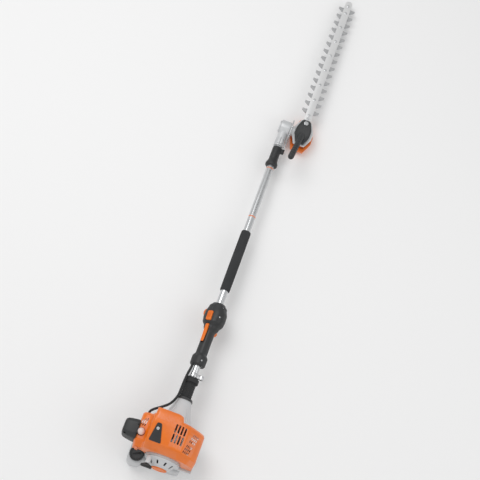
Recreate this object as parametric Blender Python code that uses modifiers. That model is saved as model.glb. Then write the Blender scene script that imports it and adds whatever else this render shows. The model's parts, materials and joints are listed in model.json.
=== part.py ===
"""Pole hedge trimmer: a petrol engine, a long tube and a swivelling double-sided cutter bar.

Lengths are in millimetres in the tool's own frame and become metres when a mesh is made.
The tool's frame has +X to the right, +Y along the tube towards the cutter, +Z up, and its
origin on the crankshaft's axis over the cylinder. An empty leans it down to the floor.
"""

import math

import bmesh
import bpy
from mathutils import Matrix, Vector

MM = 0.001
GAP = 0.3

# Where the tool lies: the tank's base and the cutter's guard both rest on the floor.
AXIS_HEIGHT = 105.0
GUARD_Y = 1225.0
GUARD_DEPTH = 43.0
LEAN = math.asin((AXIS_HEIGHT - GUARD_DEPTH) / GUARD_Y)

# Tube and drive shaft.
TUBE_RADIUS = 12.7
TUBE_BORE = 11.2
TUBE_START = 100.0
TUBE_END = 1149.0
SHAFT_RADIUS = 4.0

# Engine.
STROKE = 26.0
PISTON_RADIUS = 16.8
ROD_LENGTH = 50.0
FIN_COUNT = 6
HOOD_LEFT = -104.0
HOOD_RIGHT = 99.0
HOOD_FRONT = 49.0
HOOD_REAR = -56.0
HOOD_BOTTOM = -28.0
HOOD_CREST = 22.0
HOOD_CREASE = -38.0
NOSE_FRONT = 67.0
HOOD_WALL = 2.6
SHROUD_RADIUS = 56.0
BULB_Y = -14.0
CAP_CENTRE = Vector((-81.0, -60.0, -34.0))
CAP_NORMAL = Vector((0.0, -0.5, 0.866))
CONE_RADIUS = 62.0
CONE_START = 33.0
CONE_END = 147.0

# Control handle, rolled to the left about the tube.
HANDLE_ROLL = math.radians(37.0)
HANDLE_START = 260.0
GRIP_START = 299.0
BULB_START = 401.0
HANDLE_END = 482.0
TRIGGER_PIVOT_Y = 412.0
LOCKOUT_PIVOT_Y = 396.0

# Cutter head.
PIVOT_Y = 1200.0
PINION_RADIUS = 8.0
WHEEL_RADIUS = 16.0
PINION_TEETH = 12
WHEEL_TEETH = 24
HEAD_X = 66.0
HEAD_PINION_RADIUS = 6.0
HEAD_WHEEL_RADIUS = 12.0
QUADRANT_X = 20.0
QUADRANT_RADIUS = 38.0
QUADRANT_STEP = 15.0
PIN_X = 22.5
SLEEVE_START = 1035.0
SLEEVE_END = 1113.5

# Cutter bar.
THROW = 7.0
ECCENTRIC_RADIUS = 5.6
YOKE_INNER = ECCENTRIC_RADIUS + THROW * 2.0 + 0.4
YOKE_OUTER = YOKE_INNER + 2.8
LOWER_BLADE_Z = (12.6, 15.3)
UPPER_BLADE_Z = (15.9, 18.6)
BAR_Z = (19.2, 22.0)
BAR_START = 1249.0
BAR_END = 1807.0
BAR_HALF_WIDTH = 13.0
SPINE_HALF_WIDTH = 11.0
TOOTH_COUNT = 15
TOOTH_PITCH = 34.0
FIRST_TOOTH_Y = 1290.0
TOOTH_REACH = 31.0
SCREW_Y = (1256.0, 1271.0, 1341.0, 1409.0, 1477.0, 1545.0, 1613.0, 1681.0, 1749.0, 1783.0)

for stale in list(bpy.data.objects):
    bpy.data.objects.remove(stale)

parts = bpy.data.collections.new("pole_hedge_trimmer")
cutters = bpy.data.collections.new("cutters")
bpy.context.scene.collection.children.link(parts)
bpy.context.scene.collection.children.link(cutters)

tool = bpy.data.objects.new("tool_frame", None)
tool.location = (0.0, 0.0, AXIS_HEIGHT * MM)
tool.rotation_euler = (-LEAN, 0.0, 0.0)
parts.objects.link(tool)


# Materials --------------------------------------------------------------------------------

def material(name, colour, roughness, metallic=0.0):
    """A plain material with a name, a linear colour, a roughness and a metallic value."""
    made = bpy.data.materials.new(name)
    made.use_nodes = True
    shader = made.node_tree.nodes["Principled BSDF"]
    shader.inputs["Base Color"].default_value = (*colour, 1.0)
    shader.inputs["Roughness"].default_value = roughness
    shader.inputs["Metallic"].default_value = metallic
    made.diffuse_color = (*colour, 1.0)
    return made


ORANGE = material("orange_plastic", (0.80, 0.17, 0.012), 0.42)
BLACK = material("black_plastic", (0.026, 0.027, 0.028), 0.5)
GREY = material("pale_grey_plastic", (0.62, 0.63, 0.64), 0.5)
RUBBER = material("rubber", (0.018, 0.018, 0.018), 0.8)
FOAM = material("foam", (0.03, 0.03, 0.03), 0.95)
CASTING = material("cast_aluminium", (0.55, 0.56, 0.57), 0.45, 0.8)
STEEL = material("bright_steel", (0.60, 0.61, 0.62), 0.25, 1.0)
BLADE = material("blade_steel", (0.42, 0.42, 0.42), 0.32, 1.0)
BULB = material("primer_rubber", (0.75, 0.55, 0.50), 0.35)


# Modelling helpers ------------------------------------------------------------------------

def add_object(name, mesh, look=None):
    """Put a mesh among the parts, or among the cutters when it has no material."""
    item = bpy.data.objects.new(name, mesh)
    item.parent = tool
    if look is None:
        cutters.objects.link(item)
        item.hide_render = True
        item.display_type = "WIRE"
    else:
        parts.objects.link(item)
        mesh.materials.append(look)
    return item


def mesh_from(bm, name):
    """Scale a bmesh from millimetres to metres and turn it into a mesh."""
    bmesh.ops.recalc_face_normals(bm, faces=bm.faces)
    bmesh.ops.scale(bm, vec=(MM, MM, MM), verts=bm.verts)
    mesh = bpy.data.meshes.new(name)
    bm.to_mesh(mesh)
    bm.free()
    return mesh


def block(name, low, high, look=None, bevel=0.0):
    """A box between two corners, with rounded edges if asked."""
    low = Vector(low)
    high = Vector(high)
    bm = bmesh.new()
    bmesh.ops.create_cube(bm, size=1.0)
    bmesh.ops.scale(bm, vec=high - low, verts=bm.verts)
    bmesh.ops.translate(bm, vec=(high + low) / 2.0, verts=bm.verts)
    item = add_object(name, mesh_from(bm, name), look)
    if bevel:
        round_edges(item, bevel)
    return item


def round_edges(item, width, segments=2, angle=35.0):
    """Round an object's sharp edges."""
    modifier = item.modifiers.new("rounded", "BEVEL")
    modifier.width = width * MM
    modifier.segments = segments
    modifier.limit_method = "ANGLE"
    modifier.angle_limit = math.radians(angle)


def rod(name, start, end, radius, look=None, end_radius=None, sides=22):
    """A cylinder or a cone between two points."""
    start = Vector(start)
    end = Vector(end)
    axis = end - start
    bm = bmesh.new()
    bmesh.ops.create_cone(bm, cap_ends=True, segments=sides, radius1=radius,
                          radius2=radius if end_radius is None else end_radius, depth=axis.length)
    turn = axis.to_track_quat("Z", "Y").to_matrix().to_4x4()
    bmesh.ops.transform(bm, matrix=Matrix.Translation((start + end) / 2.0) @ turn, verts=bm.verts)
    return add_object(name, mesh_from(bm, name), look)


def turned(name, profile, start, axis, look=None, sides=22):
    """Turn (distance, radius) points about an axis; a ring's first point comes again at its end."""
    ring = profile[0] == profile[-1]
    outline = profile[:-1] if ring else profile
    mesh = bpy.data.meshes.new(name)
    points = [(radius * MM, 0.0, distance * MM) for distance, radius in outline]
    edges = [(i, i + 1) for i in range(len(points) - 1)]
    if ring:
        edges.append((len(points) - 1, 0))
    mesh.from_pydata(points, edges, [])
    item = add_object(name, mesh, look)
    screw = item.modifiers.new("turned", "SCREW")
    screw.axis = "Z"
    screw.steps = sides
    screw.render_steps = sides
    screw.use_merge_vertices = True
    screw.merge_threshold = 0.00001
    screw.use_normal_calculate = True
    item.location = Vector(start) * MM
    item.rotation_euler = Vector(axis).to_track_quat("Z", "Y").to_euler()
    return bake(item, look)


def bake(item, look=None):
    """Replace a curve or an object with modifiers by the welded mesh that it makes."""
    graph = bpy.context.evaluated_depsgraph_get()
    name = item.name
    mesh = bpy.data.meshes.new_from_object(item.evaluated_get(graph))
    mesh.transform(item.matrix_local)
    mesh.materials.clear()
    bm = bmesh.new()
    bm.from_mesh(mesh)
    bmesh.ops.remove_doubles(bm, verts=bm.verts, dist=0.00001)
    bmesh.ops.recalc_face_normals(bm, faces=bm.faces)
    bm.to_mesh(mesh)
    bm.free()
    bpy.data.objects.remove(item)
    mesh.name = name
    return add_object(name, mesh, look)


def plate(name, loops, low, high, look=None, place=None):
    """A flat outline with holes, between two heights, placed by a matrix in millimetres."""
    curve = bpy.data.curves.new(name, "CURVE")
    curve.dimensions = "2D"
    curve.fill_mode = "BOTH"
    curve.extrude = (high - low) / 2.0 * MM
    for loop in loops:
        spline = curve.splines.new("POLY")
        spline.points.add(len(loop) - 1)
        spline.use_cyclic_u = True
        for point, (x, y) in zip(spline.points, loop):
            point.co = (x * MM, y * MM, 0.0, 1.0)
    item = bpy.data.objects.new(name, curve)
    parts.objects.link(item)
    place = Matrix() if place is None else place
    offset = place.to_3x3() @ Vector((0.0, 0.0, (low + high) / 2.0))
    item.matrix_local = Matrix.Translation((place.translation + offset) * MM) @ place.to_3x3().to_4x4()
    bpy.context.view_layer.update()
    return bake(item, look)


def sweep(name, points, radius, look, resolution=2):
    """A round cord along a smooth line through the points."""
    curve = bpy.data.curves.new(name, "CURVE")
    curve.dimensions = "3D"
    curve.bevel_depth = radius * MM
    curve.bevel_resolution = resolution
    curve.use_fill_caps = True
    spline = curve.splines.new("POLY")
    spline.points.add(len(points) - 1)
    for node, point in zip(spline.points, points):
        node.co = (*(Vector(point) * MM), 1.0)
    item = bpy.data.objects.new(name, curve)
    parts.objects.link(item)
    bpy.context.view_layer.update()
    return bake(item, look)


def loft(name, rings, look=None):
    """A solid through rings that have the same number of points."""
    bm = bmesh.new()
    rows = [[bm.verts.new(point) for point in ring] for ring in rings]
    count = len(rows[0])
    for below, above in zip(rows, rows[1:]):
        for i in range(count):
            j = (i + 1) % count
            bm.faces.new((below[i], below[j], above[j], above[i]))
    bm.faces.new(rows[0])
    bm.faces.new(rows[-1])
    bmesh.ops.triangulate(bm, faces=bm.faces)
    return add_object(name, mesh_from(bm, name), look)


def combine(item, other, operation):
    """Add a Boolean with another object, which goes among the cutters."""
    for owner in list(other.users_collection):
        owner.objects.unlink(other)
    cutters.objects.link(other)
    other.hide_render = True
    other.display_type = "WIRE"
    modifier = item.modifiers.new(operation.lower(), "BOOLEAN")
    modifier.operation = operation
    modifier.object = other
    modifier.solver = "EXACT"
    return item


def cut(item, *others):
    """Cut other shapes out of an object."""
    for other in others:
        combine(item, other, "DIFFERENCE")
    return item


def join(item, *others):
    """Fuse other shapes onto an object."""
    for other in others:
        combine(item, other, "UNION")
    return item


def set_origin(item, point):
    """Move an object's origin to a point of the tool's frame and leave its shape where it is."""
    offset = Vector(point) * MM
    item.data.transform(Matrix.Translation(-offset))
    item.location = offset
    return item


def arc(centre, radius, start, end, steps):
    """Points on an arc, in degrees, with both ends."""
    turns = [math.radians(start + (end - start) * i / steps) for i in range(steps + 1)]
    return [(centre[0] + radius * math.cos(t), centre[1] + radius * math.sin(t)) for t in turns]


def circle(centre, radius, steps=24):
    """Points of a whole circle."""
    return arc(centre, radius, 0.0, 360.0, steps)[:-1]


def stadium(centre, half_width, half_length, steps=6):
    """A slot with round ends that runs along Y."""
    x, y = centre
    run = half_length - half_width
    return arc((x, y + run), half_width, 0.0, 180.0, steps) + arc((x, y - run), half_width, 180.0,
                                                                  360.0, steps)


def smooth_path(points, steps):
    """Points on a Catmull-Rom curve through the given points."""
    knots = [Vector(p) for p in points]
    knots = [2 * knots[0] - knots[1]] + knots + [2 * knots[-1] - knots[-2]]
    path = []
    for a, b, c, d in zip(knots, knots[1:], knots[2:], knots[3:]):
        for i in range(steps):
            t = i / steps
            path.append(0.5 * (2 * b + (c - a) * t + (2 * a - 5 * b + 4 * c - d) * t * t
                               + (3 * b - a - 3 * c + d) * t ** 3))
    path.append(knots[-2])
    return path


def across_x(x):
    """A frame whose plane faces +X at x: its own X is the tool's Y and its own Y the tool's Z."""
    turn = Matrix(((0, 0, 1), (1, 0, 0), (0, 1, 0)))
    return Matrix.Translation((x, 0.0, 0.0)) @ turn.to_4x4()


def across_y(y):
    """A frame whose plane faces -Y at y: its own X is the tool's X and its own Y the tool's Z."""
    return Matrix.Translation((0.0, y, 0.0)) @ Matrix.Rotation(math.radians(90.0), 4, "X")


def floor_block(name):
    """Everything below the floor, as a cutter."""
    item = block(name, (-300.0, -300.0, -200.0), (300.0, 1900.0, 0.0))
    item.parent = None
    return item


# Engine -----------------------------------------------------------------------------------

def make_crankcase():
    """The aluminium case that holds both main bearings, open at the top to the cylinder."""
    case = block("crankcase", (-30.0, -24.0, -32.0), (30.0, 31.0, 26.0), CASTING, 3.0)
    chamber = rod("crankcase_chamber", (0.0, -12.0, 0.0), (0.0, 12.0, 0.0), 24.5, sides=28)
    seats = rod("crankcase_bearing_bore", (0.0, -22.0, 0.0), (0.0, 22.0, 0.0), 16.3)
    bore = rod("crankcase_shaft_bore", (0.0, -40.0, 0.0), (0.0, 40.0, 0.0), 9.0)
    throat = rod("crankcase_throat", (0.0, 0.0, 0.0), (0.0, 0.0, 40.0), 17.6)
    cut(case, chamber, seats, bore, throat)


def make_cylinder():
    """The finned cylinder with a blind bore and its plug hole left solid."""
    profile = [(88.0, 0.0), (88.0, 20.0)]
    pitch = 8.0
    top = 84.0
    for i in range(FIN_COUNT):
        z = top - i * pitch
        profile += [(z, 20.0), (z, 24.0), (z - 2.0, 24.0), (z - 2.0, 20.0)]
    profile += [(26.0 + GAP, 20.0), (26.0 + GAP, PISTON_RADIUS + 0.4), (79.0, PISTON_RADIUS + 0.4),
                (79.0, 0.0)]
    turned("cylinder", profile, (0.0, 0.0, 0.0), (0.0, 0.0, 1.0), CASTING, 22)


def make_spark_plug():
    """The plug with its cap on the cylinder's head."""
    profile = [(103.0, 0.0), (103.0, 6.0), (96.0, 7.5), (93.0, 7.5), (93.0, 10.0), (88.0 + GAP, 10.0),
               (88.0 + GAP, 0.0)]
    turned("spark_plug", profile, (0.0, 0.0, 0.0), (0.0, 0.0, 1.0), BLACK, 16)


def make_crank():
    """Both halves of the crankshaft, which turn together about Y."""
    front = [(62.0, 0.0), (62.0, 5.0), (55.0, 7.0), (11.0, 7.0), (11.0, 20.0), (5.0, 20.0), (5.0, 0.0)]
    turned("crank_front", front, (0.0, 0.0, 0.0), (0.0, 1.0, 0.0), STEEL, 20)
    rear = [(62.0, 0.0), (62.0, 5.0), (55.0, 7.0), (11.0, 7.0), (11.0, 20.0), (5.0, 20.0), (5.0, 0.0)]
    turned("crank_rear", rear, (0.0, 0.0, 0.0), (0.0, -1.0, 0.0), STEEL, 20)


def make_bearings():
    """The two main ball bearings, as closed rings."""
    for name, start in (("bearing_front", 12.3), ("bearing_rear", -21.7)):
        ring = [(9.4, 7.3), (9.4, 16.0), (0.0, 16.0), (0.0, 7.3), (9.4, 7.3)]
        turned(name, ring, (0.0, start, 0.0), (0.0, 1.0, 0.0), STEEL, 20)


def make_piston():
    """The piston with its wrist pin, and the rod that carries the crank pin."""
    top = 75.0
    wall = PISTON_RADIUS - 3.0
    profile = [(top, 0.0), (top, PISTON_RADIUS), (top - 22.0, PISTON_RADIUS), (top - 22.0, wall),
               (top - 5.0, wall), (top - 5.0, 0.0)]
    piston = turned("piston", profile, (0.0, 0.0, 0.0), (0.0, 0.0, 1.0), CASTING, 22)
    wrist_z = STROKE / 2.0 + ROD_LENGTH
    pin = rod("piston_pin", (0.0, -wall - 1.0, wrist_z), (0.0, wall + 1.0, wrist_z), 4.0, sides=20)
    join(piston, pin)

    low, high = STROKE / 2.0, wrist_z
    outline = arc((0.0, high), 6.5, -40.0, 220.0, 12) + arc((0.0, low), 9.0, 140.0, 400.0, 14)
    rod_plate = plate("connecting_rod", [outline, circle((0.0, high), 4.3, 20)], -3.0, 3.0, STEEL,
                      across_y(0.0))
    crank_pin = rod("connecting_rod_pin", (0.0, -4.7, low), (0.0, 4.7, low), 5.0, sides=20)
    join(rod_plate, crank_pin)


def make_muffler():
    """The silencer on the cylinder's right, with its outlet stub."""
    muffler = block("muffler", (31.0, -25.0, 8.0), (67.0, 20.0, 57.0), STEEL, 5.0)
    outlet = rod("muffler_outlet", (62.0, -11.0, 25.0), (92.0, -16.0, 20.0), 9.0, sides=24)
    mouth = rod("muffler_mouth", (76.0, -13.33, 22.67), (100.0, -17.33, 18.67), 6.5, sides=24)
    join(muffler, outlet)
    cut(muffler, mouth)


def make_intake():
    """Carburettor, filter element and the black cover over the filter."""
    carburetor = block("carburetor", (-76.0, -16.0, 30.0), (-36.0, 16.0, 62.0), CASTING, 2.0)
    cut(carburetor, rod("carburetor_bore", (-80.0, 0.0, 46.0), (-30.0, 0.0, 46.0), 8.0, sides=24))
    block("air_filter", (-124.0, -31.0, 2.0), (-78.0, 15.0, 58.0), FOAM, 2.0)
    cover = block("filter_cover", (-147.0, -39.0, -8.0), (HOOD_LEFT - 1.0, 22.0, 70.0), BLACK, 9.0)
    cut(cover, block("filter_cover_inside", (-144.0, -35.5, -4.5), (HOOD_LEFT + 6.0, 18.5, 66.5)))


def hood_section(y, height, spread, inset=0.0, bottom=HOOD_BOTTOM):
    """One arch of the hood at y: low on the left, a hump in the middle, a slope on the right."""
    left = HOOD_LEFT * spread + inset
    right = HOOD_RIGHT * spread - inset
    arch = [
        (left, bottom), (left, 58.0 * height), (left + 3.5, 70.0 * height), (left + 12.0, 76.0 * height),
        (inset - 78.0, 78.0 * height), (inset - 72.0, 84.0 * height), (inset - 69.5, 108.0 * height),
        (inset - 66.0, 114.0 * height), (inset - 61.0, 116.0 * height), (6.0 - inset, 116.0 * height),
        (27.0 - inset, 111.0 * height), (45.0 - inset, 101.0 * height), (50.0 - inset, 97.0 * height),
        (right - 20.0, 66.0 * height), (right - 6.0, 46.0 * height), (right, 32.0 * height),
        (right, bottom),
    ]
    return [Vector((x, y, z - inset if z > bottom else z)) for x, z in arch]


def nose_section(y, drop, right, inset=0.0):
    """One section of the hump's nose, which stands out over the clutch cone."""
    left = inset - 66.0
    top = 116.0 - drop - inset
    nose = [(left, 20.0 - inset), (left, top - 8.0), (left + 4.0, top - 2.0), (left + 9.0, top),
            (right - inset - 12.0, top), (right - inset, top - 10.0), (right - inset, 20.0 - inset)]
    return [Vector((x, y, z)) for x, z in nose]


def make_hood():
    """The orange hood: an open-bottomed shell with its grids, slots and openings."""
    outer = [hood_section(HOOD_FRONT, 0.90, 0.97), hood_section(HOOD_FRONT - 6.0, 0.98, 1.0),
             hood_section(HOOD_FRONT - 20.0, 1.0, 1.0), hood_section(HOOD_CREST, 1.0, 1.0),
             hood_section(HOOD_CREASE, 0.86, 1.0), hood_section(HOOD_REAR, 0.58, 0.96)]
    hood = loft("engine_hood", outer, ORANGE)
    nose = [nose_section(NOSE_FRONT, 8.0, 14.0), nose_section(NOSE_FRONT - 7.0, 1.2, 19.0),
            nose_section(HOOD_FRONT - 16.0, 0.6, 30.0)]
    low = HOOD_BOTTOM - 10.0
    wall = HOOD_WALL
    inner = [hood_section(HOOD_FRONT - wall, 0.92, 0.97, wall, low),
             hood_section(HOOD_FRONT - 7.0, 0.98, 1.0, wall, low),
             hood_section(HOOD_FRONT - 20.0, 1.0, 1.0, wall, low),
             hood_section(HOOD_CREST, 1.0, 1.0, wall, low),
             hood_section(HOOD_CREASE, 0.86, 1.0, wall, low),
             hood_section(HOOD_REAR + wall, 0.60, 0.96, wall, low)]
    hollow = [nose_section(NOSE_FRONT - wall, 8.6, 14.0, wall),
              nose_section(NOSE_FRONT - 8.0, 1.6, 19.0, wall),
              nose_section(HOOD_FRONT - 19.0, 1.0, 30.0, wall)]
    cut(hood, loft("hood_inside", inner))
    join(hood, loft("hood_nose", nose))
    cut(hood, loft("hood_nose_inside", hollow))
    cut(hood, block("hood_front_slot", (-63.0, 30.0, -40.0), (63.0, 70.0, 2.0)))
    cut(hood, rod("hood_front_hole", (0.0, 30.0, 0.0), (0.0, 58.0, 0.0), CONE_RADIUS + 2.0, sides=28))
    cut(hood, rod("hood_nose_hole", (0.0, 50.0, 0.0), (0.0, 70.0, 0.0), 56.0, sides=28))
    cut(hood, block("hood_rear_slot", (-62.0, -70.0, -40.0), (62.0, -48.0, -14.0)))
    cut(hood, rod("hood_rear_hole", (0.0, -70.0, 0.0), (0.0, -48.0, 0.0), 58.0, sides=28))
    cut(hood, block("hood_filter_hole", (-120.0, -33.0, 0.0), (-95.0, 17.0, 60.0)))
    cut(hood, rod("hood_bulb_hole", (-90.0, BULB_Y, 60.0), (-90.0, BULB_Y, 90.0), 12.5, sides=24))
    cut(hood, rod("hood_outlet_hole", (85.0, -15.0, 20.0), (110.0, -15.0, 20.0), 13.0, sides=24))
    cut(hood, rod("hood_cap_notch", CAP_CENTRE - CAP_NORMAL * 20.0, CAP_CENTRE + CAP_NORMAL * 60.0,
                  28.0, sides=28))
    cut(hood, block("hood_corner_notch", (-125.0, -95.0, -45.0), (-86.0, -48.0, -2.0)))
    cut(hood, rod("hood_choke_hole", (-88.0, -70.0, 20.0), (-88.0, -48.0, 20.0), 3.5, sides=16))
    for row, y in enumerate((-7.5, 21.6)):
        for column in range(4):
            x = 3.5 + column * 10.0
            slot = block(f"hood_slot_{row}_{column}", (x, y - 13.5, 85.0), (x + 5.5, y + 13.5, 130.0))
            cut(hood, slot)
    for x, start, end in ((-86.0, 4.0, 31.0), (-92.5, 4.0, 28.0), (-98.5, 8.0, 22.0)):
        cut(hood, block("hood_left_slot", (x, start, 60.0), (x + 3.0, end, 90.0)))
    for modifier in hood.modifiers:
        modifier.solver = "MANIFOLD"


def make_hood_trim():
    """The black inset on the hump's rear slope and its screw."""
    slope = math.atan2(116.0 * 0.14, HOOD_CREST - HOOD_CREASE)
    middle = Matrix.Translation((0.0, HOOD_CREST, 116.0)) @ Matrix.Rotation(slope, 4, "X")
    outline = [(-52.0, -2.0), (-38.0, -2.0), (-22.0, -60.0), (-61.0, -60.0)]
    inset = plate("hood_inset", [outline], GAP, 1.8, BLACK, middle)
    start = middle @ Vector((-45.0, -19.0, 1.8 + GAP))
    end = middle @ Vector((-45.0, -19.0, 4.4))
    rod("hood_screw", start, end, 5.0, STEEL, 4.2, 24)


def make_fan_housing():
    """The pale shroud round the flywheel, with the wing on its right and its back wall."""
    outline = arc((0.0, 0.0), SHROUD_RADIUS, 0.0, 270.0, 36)
    outline += [(56.0, -56.0), (84.0, -52.0), (95.0, -44.0), (97.0, HOOD_BOTTOM - 3.0),
                (56.0, HOOD_BOTTOM - 3.0)]
    shroud = plate("fan_housing", [outline, circle((0.0, 0.0), 50.0, 36)], 27.0, 62.0, GREY, across_y(0.0))
    wall = [(29.5, 24.0), (29.5, 52.0), (27.0, 52.0), (27.0, 24.0), (29.5, 24.0)]
    join(shroud, turned("fan_housing_wall", wall, (0.0, 0.0, 0.0), (0.0, -1.0, 0.0), None, 22))


def make_flywheel():
    """The flywheel with its fan blades, on the rear of the crankshaft."""
    ring = [(42.0, 7.3), (42.0, 30.0), (34.0, 30.0), (34.0, 7.3), (42.0, 7.3)]
    wheel = turned("flywheel", ring, (0.0, 0.0, 0.0), (0.0, -1.0, 0.0), CASTING, 20)
    disc = [(36.0, 29.0), (36.0, 46.0), (34.0, 46.0), (34.0, 29.0), (36.0, 29.0)]
    join(wheel, turned("flywheel_disc", disc, (0.0, 0.0, 0.0), (0.0, -1.0, 0.0), None, 20))
    for i in range(10):
        turn = Matrix.Rotation(math.radians(36.0 * i), 4, "Y")
        fin = block(f"flywheel_fin_{i}", (28.0, -52.0, -1.2), (45.0, -35.0, 1.2))
        fin.data.transform(turn)
        join(wheel, fin)


def make_starter():
    """The tapered starter housing, its orange disc, its pulley and its grip."""
    shell = [(88.0, 0.0), (88.0, 27.0), (84.0, 32.0), (74.0, 42.0), (66.0, 53.0), (62.0 + GAP, 54.0),
             (62.0 + GAP, 51.0), (66.0, 50.0), (73.0, 40.0), (82.0, 30.5), (85.0, 26.0), (85.0, 0.0)]
    housing = turned("starter_housing", shell, (0.0, 0.0, 0.0), (0.0, -1.0, 0.0), GREY, 26)
    hub = rod("starter_hub", (0.0, -86.0, 0.0), (0.0, -70.0, 0.0), 5.0, sides=24)
    boss = rod("starter_boss", (-40.0, -64.0, 30.0), (-40.0, -89.0, 30.0), 8.0, sides=20)
    join(housing, hub, boss)
    cut(housing, rod("starter_boss_hole", (-40.0, -55.0, 30.0), (-40.0, -95.0, 30.0), 2.4, sides=12))
    disc = [(91.5, 0.0), (91.5, 22.0), (90.0, 25.0), (88.0 + GAP, 25.5), (88.0 + GAP, 0.0)]
    turned("starter_disc", disc, (0.0, 0.0, 0.0), (0.0, -1.0, 0.0), ORANGE, 20)
    pulley = [(80.0, 5.5), (80.0, 28.0), (78.5, 28.0), (77.0, 24.0), (74.0, 24.0), (72.5, 28.0),
              (71.0, 28.0),
              (71.0, 5.5), (80.0, 5.5)]
    turned("starter_pulley", pulley, (0.0, 0.0, 0.0), (0.0, -1.0, 0.0), BLACK, 20)
    grip = block("starter_grip", (-58.0, -103.0, 24.0), (-22.0, -90.0, 36.0), BLACK, 4.0)
    join(grip, rod("starter_rope", (-40.0, -94.0, 30.0), (-40.0, -66.0, 30.0), 1.8, sides=12))
    set_origin(grip, (-40.0, -90.0, 30.0))


def make_tank():
    """The pale tank under the engine, its filler neck, and the cap on it."""
    tank = block("fuel_tank", (-70.0, -20.0, -125.0), (66.0, 31.0, -36.0), GREY, 6.0)
    rear = block("fuel_tank_rear", (-72.0, -72.0, -125.0), (64.0, -10.0, -60.0), None, 6.0)
    lobe = block("fuel_tank_lobe", (-107.0, -88.0, -125.0), (-59.0, 0.0, -52.0), None, 12.0)
    neck = rod("fuel_tank_neck", CAP_CENTRE - CAP_NORMAL * 34.0, CAP_CENTRE - CAP_NORMAL * 6.0, 25.0,
               sides=24)
    room = block("fuel_tank_room", (-66.0, -66.0, -96.0), (60.0, 26.0, -66.0))
    lobe_room = block("fuel_tank_lobe_room", (-101.0, -82.0, -96.0), (-60.0, -8.0, -58.0))
    mouth = rod("fuel_tank_mouth", CAP_CENTRE - CAP_NORMAL * 36.0, CAP_CENTRE + CAP_NORMAL * 4.0, 19.0,
                sides=22)
    join(tank, rear, lobe, neck)
    cut(tank, mouth, room, lobe_room, floor_block("floor_under_tank"))
    start = CAP_CENTRE - CAP_NORMAL * (6.0 - GAP)
    profile = [(12.0, 0.0), (12.0, 21.0), (9.5, 24.0), (0.0, 24.0), (0.0, 18.5), (-12.0, 18.5),
               (-12.0, 0.0)]
    cap = turned("fuel_cap", profile, start, CAP_NORMAL, BLACK, 16)
    set_origin(cap, start)


def make_small_controls():
    """The primer bulb and the choke lever."""
    dome = [(84.0, 0.0), (83.0, 5.0), (80.0, 9.0), (76.0, 11.0), (70.0, 11.5), (70.0, 0.0)]
    bulb = turned("primer_bulb", dome, (-90.0, BULB_Y, 0.0), (0.0, 0.0, 1.0), BULB, 16)
    set_origin(bulb, (-90.0, BULB_Y, 76.0))
    lever = plate("choke_lever", [stadium((0.0, 9.0), 5.0, 16.0)], 57.0, 60.0, ORANGE,
                  Matrix.Translation((-88.0, 0.0, 20.0)) @ across_y(0.0))
    join(lever, rod("choke_pin", (-88.0, -58.0, 20.0), (-88.0, -46.0, 20.0), 3.0, sides=16))
    set_origin(lever, (-88.0, -57.0, 20.0))


def make_clutch():
    """The pale cone housing with the clutch hub and drum inside it."""
    cone = [(CONE_END, 23.0), (110.0, 33.0), (72.0, 46.0), (50.0, 60.0), (44.0, CONE_RADIUS),
            (CONE_START, CONE_RADIUS), (CONE_START, 34.0), (64.0, 34.0), (76.0, 20.0), (96.0, 20.0),
            (96.0, TUBE_RADIUS + GAP), (CONE_END, TUBE_RADIUS + GAP), (CONE_END, 23.0)]
    turned("clutch_housing", cone, (0.0, 0.0, 0.0), (0.0, 1.0, 0.0), GREY, 26)
    hub = [(54.0, 7.3), (54.0, 23.5), (42.0, 23.5), (42.0, 7.3), (54.0, 7.3)]
    turned("clutch_hub", hub, (0.0, 0.0, 0.0), (0.0, 1.0, 0.0), CASTING, 16)
    drum = [(72.0, SHAFT_RADIUS + GAP), (72.0, 9.0), (68.0, 9.0), (68.0, 28.0), (40.0, 28.0), (40.0, 25.5),
            (65.0, 25.5), (65.0, SHAFT_RADIUS + GAP), (72.0, SHAFT_RADIUS + GAP)]
    turned("clutch_drum", drum, (0.0, 0.0, 0.0), (0.0, 1.0, 0.0), STEEL, 20)


def make_cable():
    """The throttle and stop cables' conduit, from the handle to the engine, and its clip."""
    route = [(-15.0, 259.5, 14.0), (-16.0, 243.0, 16.0), (-19.0, 222.0, 22.0), (-21.0, 200.0, 23.0),
             (-22.0, 170.0, 24.0), (-24.0, 140.0, 27.0), (-36.0, 108.0, 40.0), (-56.0, 86.0, 50.0),
             (-76.0, 70.0, 54.0), (-86.0, 60.0, 53.0), (-89.0, HOOD_FRONT + 2.0, 50.0)]
    sweep("cable_conduit", smooth_path(route, 4), 4.2, RUBBER, 3)
    clip = [(8.0, 23.6), (8.0, 25.6), (0.0, 27.8), (0.0, 25.8), (8.0, 23.6)]
    band = turned("cable_clip", clip, (0.0, 138.5, 0.0), (0.0, 1.0, 0.0), BLACK, 26)
    out = Vector((-23.9, 0.0, 26.7)).normalized()
    middle = Vector((0.0, 142.5, 0.0))
    join(band, rod("cable_clip_saddle", middle + out * 25.6, middle + out * 29.8, 2.5, sides=12))


# Tube and handles -------------------------------------------------------------------------

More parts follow.
